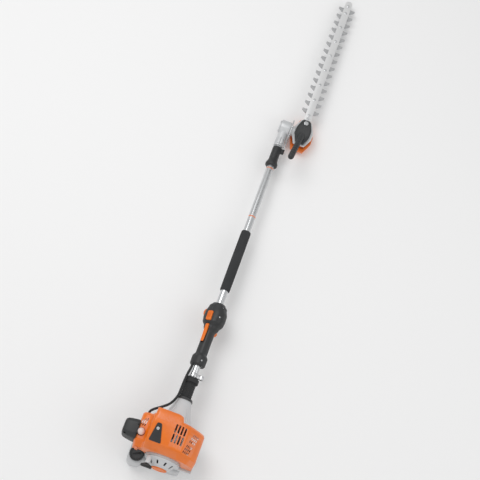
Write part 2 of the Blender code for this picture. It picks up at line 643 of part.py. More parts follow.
def make_tube():
    """The aluminium tube, the shaft that turns in it and the shaft's bushes."""
    wall = [(TUBE_END, TUBE_BORE), (TUBE_END, TUBE_RADIUS), (TUBE_START, TUBE_RADIUS),
            (TUBE_START, TUBE_BORE),
            (TUBE_END, TUBE_BORE)]
    turned("shaft_tube", wall, (0.0, 0.0, 0.0), (0.0, 1.0, 0.0), STEEL, 20)
    apex = PIVOT_Y - WHEEL_RADIUS
    shaft = rod("drive_shaft", (0.0, 63.0, 0.0), (0.0, apex + 3.0, 0.0), SHAFT_RADIUS, STEEL, sides=20)
    pinion = gear_cone("drive_pinion", PINION_RADIUS, WHEEL_RADIUS, PINION_TEETH)
    pinion.data.transform(Matrix.Translation((0.0, PIVOT_Y * MM,
                                              0.0)) @ Matrix.Rotation(math.radians(90.0), 4, "X"))
    join(shaft, pinion)
    for i, y in enumerate((430.0, 800.0)):
        ring = [(16.0, SHAFT_RADIUS + GAP), (16.0, TUBE_BORE - GAP), (0.0, TUBE_BORE - GAP),
                (0.0, SHAFT_RADIUS + GAP), (16.0, SHAFT_RADIUS + GAP)]
        turned(f"shaft_bush_{i + 1}", ring, (0.0, y, 0.0), (0.0, 1.0, 0.0), BLACK, 16)


def gear_cone(name, radius, distance, teeth):
    """A bevel gear whose apex is at the origin and whose axis is Z, as a toothed cone frustum."""
    face = 5.0
    rings = []
    for share in (1.0, 1.0 - face / distance):
        ring = []
        for i in range(teeth * 2):
            depth = 0.55 if i % 2 else -0.55
            turn = 2.0 * math.pi * (i + 0.5) / (teeth * 2)
            reach = radius * share - 0.9 + depth
            ring.append(Vector((reach * math.cos(turn), reach * math.sin(turn), distance * share)))
        rings.append(ring)
    return loft(name, rings)


def make_tube_fittings():
    """The damper, the foam grip and the hanging eye."""
    damper = [(217.0, TUBE_RADIUS + GAP), (217.0, 22.5), (214.0, 24.0), (200.0, 24.0), (198.0, 19.5)]
    for i in range(4):
        y = 191.0 - 10.0 * i
        damper += [(y, 19.5), (y - 2.0, 18.2), (y - 4.0, 19.5)]
    damper += [(CONE_END + GAP + 2.0, 19.5), (CONE_END + GAP, 18.0), (CONE_END + GAP, TUBE_RADIUS + GAP),
               (217.0, TUBE_RADIUS + GAP)]
    turned("damper_sleeve", damper, (0.0, 0.0, 0.0), (0.0, 1.0, 0.0), RUBBER, 20)
    foam = [(764.0, TUBE_RADIUS + GAP), (764.0, 15.0), (761.0, 16.7), (537.0, 16.7), (534.0, 15.0),
            (534.0, TUBE_RADIUS + GAP), (764.0, TUBE_RADIUS + GAP)]
    turned("foam_grip", foam, (0.0, 0.0, 0.0), (0.0, 1.0, 0.0), FOAM, 20)
    lug = arc((0.0, 0.0), 15.5, 24.0, 336.0, 28) + arc((27.0, 0.0), 8.0, -90.0, 90.0, 8)
    eye = plate("hanging_eye", [lug, circle((0.0, 0.0), TUBE_RADIUS + GAP, 28),
                                circle((27.0, 0.0), 4.5, 16)],
                -234.0, -220.0, STEEL, across_y(0.0))


def handle_ring(y, half_width, half_height, drop=0.0, steps=24, power=2.4):
    """One section of the control handle in its own rolled frame."""
    ring = []
    for i in range(steps):
        turn = 2.0 * math.pi * (i + 0.5) / steps
        c, s = math.cos(turn), math.sin(turn)
        x = half_width * math.copysign(abs(c) ** (2.0 / power), c)
        z = half_height * math.copysign(abs(s) ** (2.0 / power), s) + drop
        ring.append(Vector((x, y, z)))
    return ring


def roll(item):
    """Turn a shape of the control handle's own frame into the tool's frame."""
    item.data.transform(Matrix.Rotation(-HANDLE_ROLL, 4, "Y"))
    return item


def handle_solid(name, look):
    """The whole control handle's outer shape, before it is split."""
    rings = [handle_ring(HANDLE_START, 21.0, 20.0), handle_ring(HANDLE_START + 4.0, 24.5, 23.0),
             handle_ring(GRIP_START - 10.0, 25.0, 23.5), handle_ring(GRIP_START + 4.0, 17.8, 18.5),
             handle_ring(BULB_START - 22.0, 17.5, 19.0), handle_ring(BULB_START - 4.0, 24.0, 25.0, -2.0),
             handle_ring(BULB_START + 14.0, 35.0, 31.0, -2.0),
             handle_ring(HANDLE_END - 36.0, 37.0, 31.0, -1.0),
             handle_ring(HANDLE_END - 12.0, 30.0, 27.0), handle_ring(HANDLE_END, 21.0, 20.0)]
    return roll(loft(name, rings, look))


def make_control_handle():
    """The handle's two halves with the trigger, the lock-out lever, the stop button and the dial."""
    for name, side in (("handle_left", 1.0), ("handle_right", -1.0)):
        half = handle_solid(name, BLACK)
        low, high = sorted((-0.15 * side, 80.0 * side))
        cut(half, roll(block(f"{name}_split", (low, 240.0, -80.0), (high, 500.0, 80.0))))
        cut(half, rod(f"{name}_bore", (0.0, 240.0, 0.0), (0.0, 500.0, 0.0), TUBE_RADIUS + GAP, sides=22))
        cut(half, roll(block(f"{name}_trigger_slot", (-5.6, 372.0, -60.0), (5.6, 420.0, -14.0))))
        cut(half, roll(block(f"{name}_lockout_slot", (-5.9, 336.0, 14.0), (5.9, 404.0, 60.0))))
        cut(half, roll(block(f"{name}_button_slot", (-10.0, 412.0, 20.0), (10.0, 446.0, 60.0))))
    cut(bpy.data.objects["handle_left"],
        roll(rod("dial_pocket", (-60.0, 448.0, 0.0), (-29.0, 448.0, 0.0), 15.6, sides=28)))
    make_trigger()
    make_lockout()
    button = roll(block("stop_button", (-9.5, 412.6, 25.0), (9.5, 445.4, 34.0), ORANGE, 1.5))
    set_origin(button, handle_point(0.0, 429.0, 30.0))
    dial = roll(rod("speed_dial", (-42.0, 448.0, 0.0), (-29.5, 448.0, 0.0), 15.0, ORANGE, sides=28))
    set_origin(dial, handle_point(-29.5, 448.0, 0.0))


def handle_point(x, y, z):
    """A point of the handle's rolled frame, in the tool's frame."""
    return Matrix.Rotation(-HANDLE_ROLL, 3, "Y") @ Vector((x, y, z))


def make_trigger():
    """The throttle trigger under the grip; it swings up on a pin at its front."""
    outline = [(376.0, -24.0), (379.0, -31.0), (386.0, -38.0), (392.0, -39.0), (398.0, -34.0),
               (404.0, -31.0),
               (413.0, -26.0), (417.0, -20.0), (416.0, -16.0), (404.0, -17.5), (390.0, -20.5)]
    trigger = plate("throttle_trigger", [outline], -5.0, 5.0, ORANGE, across_x(0.0))
    roll(trigger)
    set_origin(trigger, handle_point(0.0, TRIGGER_PIVOT_Y, -20.0))


def make_lockout():
    """The lock-out lever on top of the grip, pressed down by the palm."""
    outline = [(339.0, 23.0), (341.0, 25.5), (360.0, 26.0), (396.0, 28.0), (402.0, 26.0), (402.5, 21.0),
               (396.0, 19.0), (345.0, 21.5)]
    lever = plate("lockout_lever", [outline], -5.5, 5.5, ORANGE, across_x(0.0))
    roll(lever)
    set_origin(lever, handle_point(0.0, LOCKOUT_PIVOT_Y, 23.0))


# Cutter head ------------------------------------------------------------------------------

def make_angle_housing():
    """The fixed gear housing at the tube's end, its cap and the cross shaft."""
    housing = rod("angle_housing", (-16.0, PIVOT_Y, 0.0), (19.0, PIVOT_Y, 0.0), 27.0, CASTING, sides=28)
    collar = [(1182.0, 0.0), (1182.0, 15.5), (1160.0, 15.5), (1148.0, 17.5), (1122.0, 17.5),
              (1119.0, 16.0), (1119.0, 0.0)]
    join(housing, turned("angle_collar", collar, (0.0, 0.0, 0.0), (0.0, 1.0, 0.0), None, 20))
    cut(housing, rod("angle_tube_bore", (0.0, 1100.0, 0.0), (0.0, 1150.0, 0.0), TUBE_RADIUS + GAP,
                     sides=22))
    cut(housing, rod("angle_shaft_bore", (0.0, 1145.0, 0.0), (0.0, PIVOT_Y, 0.0), PINION_RADIUS + 1.5,
                     sides=28))
    cut(housing, rod("angle_chamber", (-20.0, PIVOT_Y, 0.0), (9.0, PIVOT_Y, 0.0), WHEEL_RADIUS + 3.0,
                     sides=24))
    cut(housing, rod("angle_trunnion_bore", (0.0, PIVOT_Y, 0.0), (30.0, PIVOT_Y, 0.0), 14.0 + GAP,
                     sides=22))
    cap = [(20.5, 0.0), (20.5, 12.0), (18.5, 22.0), (16.0 + GAP, 23.0), (16.0 + GAP, 0.0)]
    turned("pivot_cap", cap, (0.0, PIVOT_Y, 0.0), (-1.0, 0.0, 0.0), CASTING, 20)
    shaft = rod("cross_shaft", (-13.5, PIVOT_Y, 0.0), (HEAD_X - HEAD_WHEEL_RADIUS + 1.0, PIVOT_Y, 0.0),
                SHAFT_RADIUS,
                STEEL, sides=20)
    wheel = gear_cone("cross_wheel", WHEEL_RADIUS, PINION_RADIUS + 1.5, WHEEL_TEETH)
    wheel.data.transform(Matrix.Translation((0.0, PIVOT_Y * MM,
                                             0.0)) @ Matrix.Rotation(math.radians(-90.0), 4, "Y"))
    pinion = gear_cone("cross_pinion", HEAD_PINION_RADIUS, HEAD_WHEEL_RADIUS, PINION_TEETH)
    pinion.data.transform(Matrix.Translation((HEAD_X * MM, PIVOT_Y * MM, 0.0))
                          @ Matrix.Rotation(math.radians(-90.0), 4, "Y"))
    join(shaft, wheel, pinion)
    set_origin(shaft, (0.0, PIVOT_Y, 0.0))


def make_lock():
    """The sliding sleeve that frees the cutter's tilt, and the pin that it carries."""
    profile = [(SLEEVE_END, TUBE_RADIUS + GAP), (SLEEVE_END, 16.0), (1060.0, 16.0), (1048.0, 21.5),
               (1038.0, 21.5),
               (SLEEVE_START, 19.0), (SLEEVE_START, TUBE_RADIUS + GAP), (SLEEVE_END, TUBE_RADIUS + GAP)]
    sleeve = turned("lock_sleeve", profile, (0.0, 0.0, 0.0), (0.0, 1.0, 0.0), BLACK, 20)
    tab = block("lock_tab", (13.8, 1096.0, -5.0), (27.0, SLEEVE_END, 5.0), None, 2.0)
    join(sleeve, tab)
    cut(sleeve, rod("lock_tab_hole", (PIN_X, 1105.0, 0.0), (PIN_X, 1130.0, 0.0), 2.6 + GAP, sides=16))
    rod("lock_pin", (PIN_X, 1106.0, 0.0), (PIN_X, PIVOT_Y - QUADRANT_RADIUS - 1.0, 0.0), 2.6, STEEL,
        sides=16)


def make_quadrant():
    """The notched disc that the lock pin drops into."""
    outline = []
    half_notch = 5.0
    for i in range(int(360.0 / QUADRANT_STEP)):
        middle = 180.0 + QUADRANT_STEP * i
        outline += arc((PIVOT_Y, 0.0), QUADRANT_RADIUS, middle - QUADRANT_STEP + half_notch,
                       middle - half_notch, 2)
        outline += arc((PIVOT_Y, 0.0), QUADRANT_RADIUS - 6.0, middle - half_notch, middle + half_notch, 1)
    disc = plate("quadrant", [outline, circle((PIVOT_Y, 0.0), 14.0 + GAP, 28)], QUADRANT_X,
                 QUADRANT_X + 5.0,
                 CASTING, across_x(0.0))


def make_cutter_housing():
    """The gear case that tilts: trunnion, neck, vertical case and the flange under the blades."""
    trunnion = rod("cutter_housing", (9.5, PIVOT_Y, 0.0), (34.0, PIVOT_Y, 0.0), 14.0, CASTING, sides=22)
    neck = rod("cutter_neck", (QUADRANT_X + 5.0 + GAP, PIVOT_Y, 0.0), (36.0, PIVOT_Y, 0.0), 18.0, sides=22)
    arm = rod("cutter_arm", (30.0, PIVOT_Y, 0.0), (60.0, PIVOT_Y, 0.0), 11.0, sides=22)
    case = rod("cutter_case", (HEAD_X, PIVOT_Y, -19.0), (HEAD_X, PIVOT_Y, 8.0), 22.0, sides=24)
    flange = plate("cutter_flange", [head_outline(37.0, 1150.0, 1249.0)], 4.5, 11.5)
    tongue = block("cutter_tongue", (HEAD_X - 13.0, 1240.0, 4.5), (HEAD_X + 13.0, 1290.0, 8.5))
    join(trunnion, neck, arm, case, flange, tongue)
    cut(trunnion, rod("cutter_shaft_bore", (0.0, PIVOT_Y, 0.0), (HEAD_X, PIVOT_Y, 0.0), 7.8, sides=28))
    cut(trunnion, rod("cutter_gear_bore", (HEAD_X, PIVOT_Y, -30.0), (HEAD_X, PIVOT_Y, 2.0), 15.5, sides=24))
    cut(trunnion, rod("cutter_journal_bore", (HEAD_X, PIVOT_Y, 0.0), (HEAD_X, PIVOT_Y, 20.0), 5.3,
                      sides=24))


def head_outline(half_width, rear, front):
    """The long hexagon of the head's flange and cover."""
    shoulder = half_width * 0.55
    return [(HEAD_X - shoulder, rear), (HEAD_X + shoulder, rear), (HEAD_X + half_width, PIVOT_Y - 14.0),
            (HEAD_X + half_width, PIVOT_Y + 12.0), (HEAD_X + shoulder, front), (HEAD_X - shoulder, front),
            (HEAD_X - half_width, PIVOT_Y + 12.0), (HEAD_X - half_width, PIVOT_Y - 14.0)]


def make_crank_gear():
    """The upright gear with both eccentrics that drive the blades."""
    gear = rod("crank_gear", (HEAD_X, PIVOT_Y, -12.0), (HEAD_X, PIVOT_Y, 19.2), 5.0, STEEL, sides=24)
    wheel = gear_cone("crank_wheel", HEAD_WHEEL_RADIUS, HEAD_PINION_RADIUS + 1.5, WHEEL_TEETH)
    wheel.data.transform(Matrix.Translation((HEAD_X * MM, PIVOT_Y * MM, 0.0)) @ Matrix.Rotation(math.pi,
                                                                                                4, "X"))
    lower = rod("lower_eccentric", (HEAD_X + THROW, PIVOT_Y, LOWER_BLADE_Z[0]),
                (HEAD_X + THROW, PIVOT_Y, LOWER_BLADE_Z[1]), ECCENTRIC_RADIUS, sides=22)
    upper = rod("upper_eccentric", (HEAD_X - THROW, PIVOT_Y, UPPER_BLADE_Z[0]),
                (HEAD_X - THROW, PIVOT_Y, UPPER_BLADE_Z[1]), ECCENTRIC_RADIUS, sides=22)
    join(gear, wheel, lower, upper)
    set_origin(gear, (HEAD_X, PIVOT_Y, 0.0))


def make_gear_cover():
    """The black cover over the eccentrics, its nut, and the swivel handle on it."""
    cover = plate("gear_cover", [head_outline(27.5, 1152.0, 1247.0)], 11.5 + GAP, 25.0, BLACK)
    room = plate("gear_cover_room", [stadium((HEAD_X, PIVOT_Y), YOKE_OUTER + 0.8,
                                             YOKE_OUTER + THROW + 1.0, 12)],
                 5.0, BAR_Z[0] + 0.4)
    way = block("gear_cover_way", (HEAD_X - 11.8, PIVOT_Y + 10.0, 5.0),
                (HEAD_X + 11.8, 1260.0, BAR_Z[0] + 0.4))
    cut(cover, room, way)
    nut = [(32.0, 0.0), (32.0, 5.0), (31.0, 5.5), (31.0, 9.0), (25.0 + GAP, 9.0), (25.0 + GAP, 0.0)]
    turned("cover_nut", nut, (HEAD_X, 1232.0, 0.0), (0.0, 0.0, 1.0), STEEL, 16)
    base = Vector((HEAD_X, 1180.0, 36.0))
    axis = Vector((-0.10, -0.96, 0.26)).normalized()
    bar = [(132.0, 0.0), (131.0, 6.0), (127.0, 9.5), (118.0, 11.0), (60.0, 10.0), (10.0, 9.5),
           (2.0, 8.0), (0.0, 6.0), (0.0, 0.0)]
    handle = turned("swivel_handle", bar, base, axis, BLACK, 16)
    foot = block("swivel_foot", (HEAD_X - 9.0, 1160.0, 25.0 + GAP), (HEAD_X + 7.0, 1186.0, 38.0), None, 3.0)
    join(handle, foot)


def make_cutter_guard():
    """The orange guard under the gear case, with a flat sole on the floor."""
    top = head_outline(41.0, 1143.0, 1268.0)
    bottom = head_outline(28.0, 1160.0, 1275.0)
    rings = [[Vector((x, y, -21.5)) for x, y in top], [Vector((x, y, -30.0)) for x, y in top],
             [Vector((x, y, -55.0)) for x, y in bottom]]
    rings[0] = [Vector((max(p.x, 29.0), p.y, p.z)) for p in rings[0]]
    rings[1] = [Vector((max(p.x, 29.0), p.y, p.z)) for p in rings[1]]
    guard = loft("cutter_guard", rings, ORANGE)
    cut(guard, floor_block("floor_under_guard"))
    cut(guard, plate("cutter_guard_inside", [head_outline(34.0, 1156.0, 1260.0)], -38.0, -10.0))


def blade_outline():
    """A double-sided blade: a yoke ring at the rear, a spine and slanted teeth on both sides."""
    join_turn = math.degrees(math.asin(SPINE_HALF_WIDTH / YOKE_OUTER))
    ring = arc((HEAD_X, PIVOT_Y), YOKE_OUTER, 90.0 + join_turn, 450.0 - join_turn, 22)
    right, left = [], []
    for i in range(TOOTH_COUNT):
        y = FIRST_TOOTH_Y + TOOTH_PITCH * i
        tooth = [(SPINE_HALF_WIDTH, y - 11.0), (20.0, y - 7.0), (TOOTH_REACH, y + 1.0),
                 (TOOTH_REACH, y + 7.0),
                 (20.0, y + 6.0), (SPINE_HALF_WIDTH, y + 9.0)]
        right += [(HEAD_X + x, v) for x, v in tooth]
        left += [(HEAD_X - x, v) for x, v in tooth]
    tip = arc((HEAD_X, BAR_END - 20.0), SPINE_HALF_WIDTH, 0.0, 180.0, 8)
    return ring + right + tip + left[::-1]


def make_blades():
    """Two blades that slide against each other, and the guide bar with its screws on top."""
    slots = [stadium((HEAD_X, y), 4.0, 5.0 + THROW, 4) for y in SCREW_Y[2:]]
    middle = (SCREW_Y[0] + SCREW_Y[1]) / 2.0
    slots.append(stadium((HEAD_X, middle), 4.0, 5.0 + THROW + SCREW_Y[1] - middle, 4))
    hole = circle((HEAD_X, PIVOT_Y), YOKE_INNER, 24)
    for name, heights in (("lower_blade", LOWER_BLADE_Z), ("upper_blade", UPPER_BLADE_Z)):
        blade = plate(name, [blade_outline(), hole] + slots, *heights, BLADE)
        set_origin(blade, (HEAD_X, PIVOT_Y, heights[0]))
    outline = [(HEAD_X - BAR_HALF_WIDTH, BAR_START), (HEAD_X + BAR_HALF_WIDTH, BAR_START)]
    outline += arc((HEAD_X, BAR_END - BAR_HALF_WIDTH), BAR_HALF_WIDTH, 0.0, 180.0, 10)
    bar = plate("guide_bar", [outline], *BAR_Z, STEEL)
    for i, y in enumerate(SCREW_Y):
        foot = 9.0 + GAP if y < 1290.0 else 9.8
        head = [(BAR_Z[1] + 2.4, 0.0), (BAR_Z[1] + 2.4, 3.6), (BAR_Z[1] + 1.2, 5.2), (BAR_Z[1] - 0.6, 5.2),
                (BAR_Z[1] - 0.6, 3.0), (foot + 2.4, 3.0), (foot + 2.4, 5.2), (foot, 5.2), (foot, 0.0)]
        join(bar, turned(f"bar_screw_{i}", head, (HEAD_X, y, 0.0), (0.0, 0.0, 1.0), None, 10))


def build():
    """Make every piece of the trimmer."""
    make_crankcase()
    make_cylinder()
    make_spark_plug()
    make_crank()
    make_bearings()
    make_piston()
    make_muffler()
    make_intake()
    make_hood()
    make_hood_trim()
    make_fan_housing()
    make_flywheel()
    make_starter()
    make_tank()
    make_small_controls()
    make_clutch()
    make_cable()
    make_tube()
    make_tube_fittings()
    make_control_handle()
    make_angle_housing()
    make_lock()
    make_quadrant()
    make_cutter_housing()
    make_crank_gear()
    make_gear_cover()
    make_cutter_guard()
    make_blades()


build()
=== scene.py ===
"""The looks of a petrol pole hedge trimmer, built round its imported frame.

Every piece is worked out in the tool's own frame, in millimetres: x to the right, y along the
tube towards the cutter, z up, with the origin on the crankshaft's axis. The frame's joints say
where that is.
"""

import json
import logging
import math
from collections.abc import Sequence
from dataclasses import dataclass, field
from enum import Enum

import bpy
import numpy as np
from mathutils import Matrix, Vector
from numpy.typing import NDArray


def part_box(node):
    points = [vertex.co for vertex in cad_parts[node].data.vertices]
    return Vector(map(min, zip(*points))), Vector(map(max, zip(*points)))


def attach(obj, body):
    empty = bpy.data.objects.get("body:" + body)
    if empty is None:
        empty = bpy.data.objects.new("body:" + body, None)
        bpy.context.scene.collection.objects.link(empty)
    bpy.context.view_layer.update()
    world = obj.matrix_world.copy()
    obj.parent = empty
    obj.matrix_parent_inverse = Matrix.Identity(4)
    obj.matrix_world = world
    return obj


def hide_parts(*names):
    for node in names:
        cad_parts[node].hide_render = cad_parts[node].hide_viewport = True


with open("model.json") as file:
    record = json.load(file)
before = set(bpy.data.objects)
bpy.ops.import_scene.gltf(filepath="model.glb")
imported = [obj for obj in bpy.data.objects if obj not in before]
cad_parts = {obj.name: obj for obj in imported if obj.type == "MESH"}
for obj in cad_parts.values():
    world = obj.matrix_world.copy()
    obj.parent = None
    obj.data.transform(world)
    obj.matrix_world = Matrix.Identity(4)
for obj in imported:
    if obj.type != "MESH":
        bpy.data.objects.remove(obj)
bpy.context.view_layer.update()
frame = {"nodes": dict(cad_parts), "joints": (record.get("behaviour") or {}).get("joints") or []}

LOG = logging.getLogger("hedge_trimmer")
MM = 0.001
FULL_TURN = 2.0 * math.pi
Array = NDArray[np.float64]
Outline = Sequence[tuple[float, float]]


# Places ------------------------------------------------------------------------------------

@dataclass(frozen=True)
class ToolFrame:
    """The tool's own frame, read from the frame's joints.

    Args:
        origin: Where the crankshaft's axis passes under the cylinder, in metres.
        right: The tool's x as a unit vector.
        forward: The tool's y, along the tube.
    """

    origin: Vector
    right: Vector
    forward: Vector

    @classmethod
    def from_joints(cls, joints: list[dict]) -> "ToolFrame":
        """Read the frame from the crankshaft's joint and the cross shaft's joint.

        Args:
            joints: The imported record's joints.

        Returns:
            The tool's frame.
        """
        by_name = {joint["name"]: joint for joint in joints}
        spin = by_name["crank_spin"]
        tilt = by_name["cutter_tilt"]
        return cls(Vector(spin["pos_m"]), Vector(tilt["axis"]).normalized(), Vector(spin["axis"]).normalized())

    def basis(self) -> Array:
        """Return the rows x, y and z of the tool's frame in world coordinates."""
        up = self.right.cross(self.forward)
        return np.array([self.right[:], self.forward[:], up[:]])

    def place(self, points: Array) -> Array:
        """Turn points in millimetres of the tool's frame into world points in metres.

        Args:
            points: An array whose last axis is x, y, z.

        Returns:
            An array of the same shape.
        """
        return points * MM @ self.basis() + np.array(self.origin)

    def point(self, x: float, y: float, z: float) -> Vector:
        """Return one point of the tool's frame as a world point."""
        return Vector(self.place(np.array([x, y, z])))


TOOL = ToolFrame.from_joints(frame["joints"])


def catmull_rom(points: Sequence[tuple[float, float, float]], steps: int) -> Array:
    """A smooth line through points: each stretch is the cubic of Catmull and Rom.

    Args:
        points: The points that the line passes through.
        steps: How many points each stretch gets.

    Returns:
        An array of points, one row each.
    """
    knots = np.array(points, float)
    knots = np.vstack([2 * knots[0] - knots[1], knots, 2 * knots[-1] - knots[-2]])
    a, b, c, d = knots[:-3, None], knots[1:-2, None], knots[2:-1, None], knots[3:, None]
    t = np.linspace(0.0, 1.0, steps, endpoint=False)[None, :, None]
    path = 0.5 * (2 * b + (c - a) * t + (2 * a - 5 * b + 4 * c - d) * t ** 2 + (3 * b - a - 3 * c + d) * t ** 3)
    return np.vstack([path.reshape(-1, 3), knots[-2]])


def filleted(points: Outline, radius: float, closed: bool, steps: int = 3) -> Array:
    """Round a 2-D line's corners: each corner becomes a short quadratic curve.

    Args:
        points: The line's corners.
        radius: How far from its corner a curve starts, where the sides are long enough.
        closed: Whether the last corner joins the first.
        steps: How many stretches each curve has.

    Returns:
        The rounded line's points.
    """
    corners = np.array(points, float)
    before = np.roll(corners, 1, axis=0) - corners
    after = np.roll(corners, -1, axis=0) - corners
    reach_before = np.linalg.norm(before, axis=1, keepdims=True)
    reach_after = np.linalg.norm(after, axis=1, keepdims=True)
    cut = np.minimum(radius, 0.45 * np.minimum(reach_before, reach_after))
    if not closed:
        cut[0] = cut[-1] = 0.0
    start = corners + before / np.maximum(reach_before, 1e-9) * cut
    end = corners + after / np.maximum(reach_after, 1e-9) * cut
    t = np.linspace(0.0, 1.0, steps + 1)[None, :, None]
    curves = (1 - t) ** 2 * start[:, None] + 2 * t * (1 - t) * corners[:, None] + t ** 2 * end[:, None]
    line = curves.reshape(-1, 2)
    keep = np.ones(len(line), bool)
    keep[1:] = np.linalg.norm(np.diff(line, axis=0), axis=1) > 1e-4
    return line[keep]


def arc(centre: tuple[float, float], radius: float, start: float, end: float,
        steps: int) -> list[tuple[float, float]]:
    """Points on an arc, from one angle in degrees to another, with both ends."""
    turn = np.radians(np.linspace(start, end, steps + 1))
    return list(zip(centre[0] + radius * np.cos(turn), centre[1] + radius * np.sin(turn)))


# Meshes ------------------------------------------------------------------------------------

def mesh_object(name: str, points: Array, faces: list[list[int]], sharp: float = 32.0) -> bpy.types.Object:
    """Put points of the tool's frame and their faces into a new smooth-shaded object.

    Args:
        name: The object's name.
        points: Points in millimetres, one row each.
        faces: Each face's point numbers.
        sharp: Edges that bend by more than this many degrees stay crisp.

    Returns:
        The object, at the origin.
    """
    mesh = bpy.data.meshes.new(name)
    mesh.from_pydata(TOOL.place(points).tolist(), [], faces)
    mesh.validate()
    piece = bpy.data.objects.new(name, mesh)
    bpy.context.scene.collection.objects.link(piece)
    return crisp(piece, sharp)


def crisp(piece: bpy.types.Object, sharp: float = 32.0) -> bpy.types.Object:
    """Shade a piece smooth, apart from edges that bend by more than an angle in degrees."""
    mesh = piece.data
    mesh.polygons.foreach_set("use_smooth", np.ones(len(mesh.polygons), bool))
    mesh.set_sharp_from_angle(angle=math.radians(sharp))
    return piece


def grid(name: str, rows: Array, caps: bool = True, ring: bool = False, sharp: float = 32.0) -> bpy.types.Object:
    """A surface through rows of points that each close on themselves.

    Args:
        name: The object's name.
        rows: An array of rows, points and x, y, z.
        caps: Whether the first and the last row are closed by a face each.
        ring: Whether the last row joins the first.
        sharp: The angle past which edges stay crisp, in degrees.

    Returns:
        The object, with its faces pointing out.
    """
    count, around, _ = rows.shape
    last = count if ring else count - 1
    i = np.arange(last)[:, None]
    j = np.arange(around)[None, :]
    here, up = i * around, ((i + 1) % count) * around
    right = (j + 1) % around
    quads = np.stack([here + j, here + right, up + right, up + j], axis=-1).reshape(-1, 4)
    faces = quads.tolist()
    if caps and not ring:
        faces.append(list(range(around))[::-1])
        faces.append([(count - 1) * around + k for k in range(around)])
    piece = mesh_object(name, rows.reshape(-1, 3), faces, sharp)
    return outward(piece, sharp)


def outward(piece: bpy.types.Object, sharp: float = 32.0) -> bpy.types.Object:
    """Turn a closed piece's faces outwards: its signed volume has to be positive."""
    mesh = piece.data
    mesh.calc_loop_triangles()
    corners = np.zeros(len(mesh.loop_triangles) * 3, np.int32)
    mesh.loop_triangles.foreach_get("vertices", corners)
    places = np.zeros(len(mesh.vertices) * 3)
    mesh.vertices.foreach_get("co", places)
    a, b, c = places.reshape(-1, 3)[corners.reshape(-1, 3)].transpose(1, 0, 2)
    if np.einsum("ij,ij->i", a, np.cross(b, c)).sum() < 0.0:
        mesh.flip_normals()
    return crisp(piece, sharp)


def axis_basis(axis: Array) -> tuple[Array, Array, Array]:
    """Two unit vectors across an axis and the axis's own unit vector."""
    along = axis / np.linalg.norm(axis)
    helper = np.array([0.0, 0.0, 1.0]) if abs(along[2]) < 0.9 else np.array([1.0, 0.0, 0.0])
    side = np.cross(helper, along)
    side /= np.linalg.norm(side)
    return side, np.cross(along, side), along


def turned(name: str, profile: Outline, start: tuple[float, float, float], axis: tuple[float, float, float],
           sides: int = 96, soft: float = 0.8, ring: bool = False) -> bpy.types.Object:
    """A turned piece: a profile of distance along an axis and radius, swept a full turn.

    Args:
        name: The object's name.
        profile: Corners as (distance, radius); the ends of a solid one reach radius 0.
        start: The axis's start.
        axis: The axis's direction.
        sides: How many flats make the turn.
        soft: How far the profile's corners are rounded.
        ring: Whether the profile is a closed loop round a hole.

    Returns:
        The object.
    """
    line = filleted(profile, soft, ring)
    if not ring:
        line[[0, -1], 1] = np.maximum(line[[0, -1], 1], 0.05)
    side, across, along = axis_basis(np.array(axis, float))
    turn = np.linspace(0.0, FULL_TURN, sides, endpoint=False)
    spoke = np.cos(turn)[:, None] * side + np.sin(turn)[:, None] * across
    rows = np.array(start) + line[:, 0, None, None] * along + line[:, 1, None, None] * spoke[None]
    return grid(name, rows, caps=not ring, ring=ring)


def prism(name: str, outline: Outline, low: float, high: float, rim: float = 0.5, plane: str = "xy",
          steps: int = 2) -> bpy.types.Object:
    """A flat piece with rounded rims: an outline that steps in by a quarter circle at each face.

    Args:
        name: The object's name.
        outline: The outline's points.
        low: Where the piece starts, across its plane.
        high: Where it ends.
        rim: The rims' radius.
        plane: Which of the tool's planes the outline lies in: xy, yz or xz.
        steps: How many stretches each rim has.

    Returns:
        The object.
    """
    line = np.array(outline, float)
    ahead = np.roll(line, -1, axis=0) - line
    ahead /= np.maximum(np.linalg.norm(ahead, axis=1, keepdims=True), 1e-9)
    normal = np.stack([ahead[:, 1], -ahead[:, 0]], axis=1)
    normal = normal + np.roll(normal, 1, axis=0)
    normal /= np.maximum(np.linalg.norm(normal, axis=1, keepdims=True), 0.6)
    area = np.sum(line[:, 0] * np.roll(line[:, 1], -1) - np.roll(line[:, 0], -1) * line[:, 1])
    inward = -normal * math.copysign(1.0, area)
    turn = np.linspace(0.0, math.pi / 2.0, steps + 1)
    inset = rim * np.concatenate([1 - np.sin(turn), (1 - np.sin(turn))[::-1]])
    height = np.concatenate([low + rim * (1 - np.cos(turn)), (high - rim * (1 - np.cos(turn)))[::-1]])
    flat = line[None] + inward[None] * inset[:, None, None]
    level = np.broadcast_to(height[:, None, None], (*flat.shape[:2], 1))
    orders = {"xy": (0, 1, 2), "yz": (2, 0, 1), "xz": (0, 2, 1)}
    rows = np.concatenate([flat, level], axis=2)[:, :, orders[plane]]
    return grid(name, rows, sharp=28.0)


def oval_rows(centres: Array, half_widths: Array, half_heights: Array, power: float = 2.4,
              steps: int = 96) -> Array:
    """Sections across y whose rims are superellipses: |x/a|^n + |z/b|^n = 1.

    Args:
        centres: Each section's middle.
        half_widths: Each section's a.
        half_heights: Each section's b.
        power: The exponent n; 2 is an ellipse and more is squarer.
        steps: How many points each section has.

    Returns:
        Rows of points.
    """
    turn = np.linspace(0.0, FULL_TURN, steps, endpoint=False)
    c, s = np.cos(turn), np.sin(turn)
    x = np.sign(c) * np.abs(c) ** (2.0 / power) * half_widths[:, None]
    z = np.sign(s) * np.abs(s) ** (2.0 / power) * half_heights[:, None]
    rows = np.stack([x, np.zeros_like(x), z], axis=2)
    return rows + centres[:, None, :]


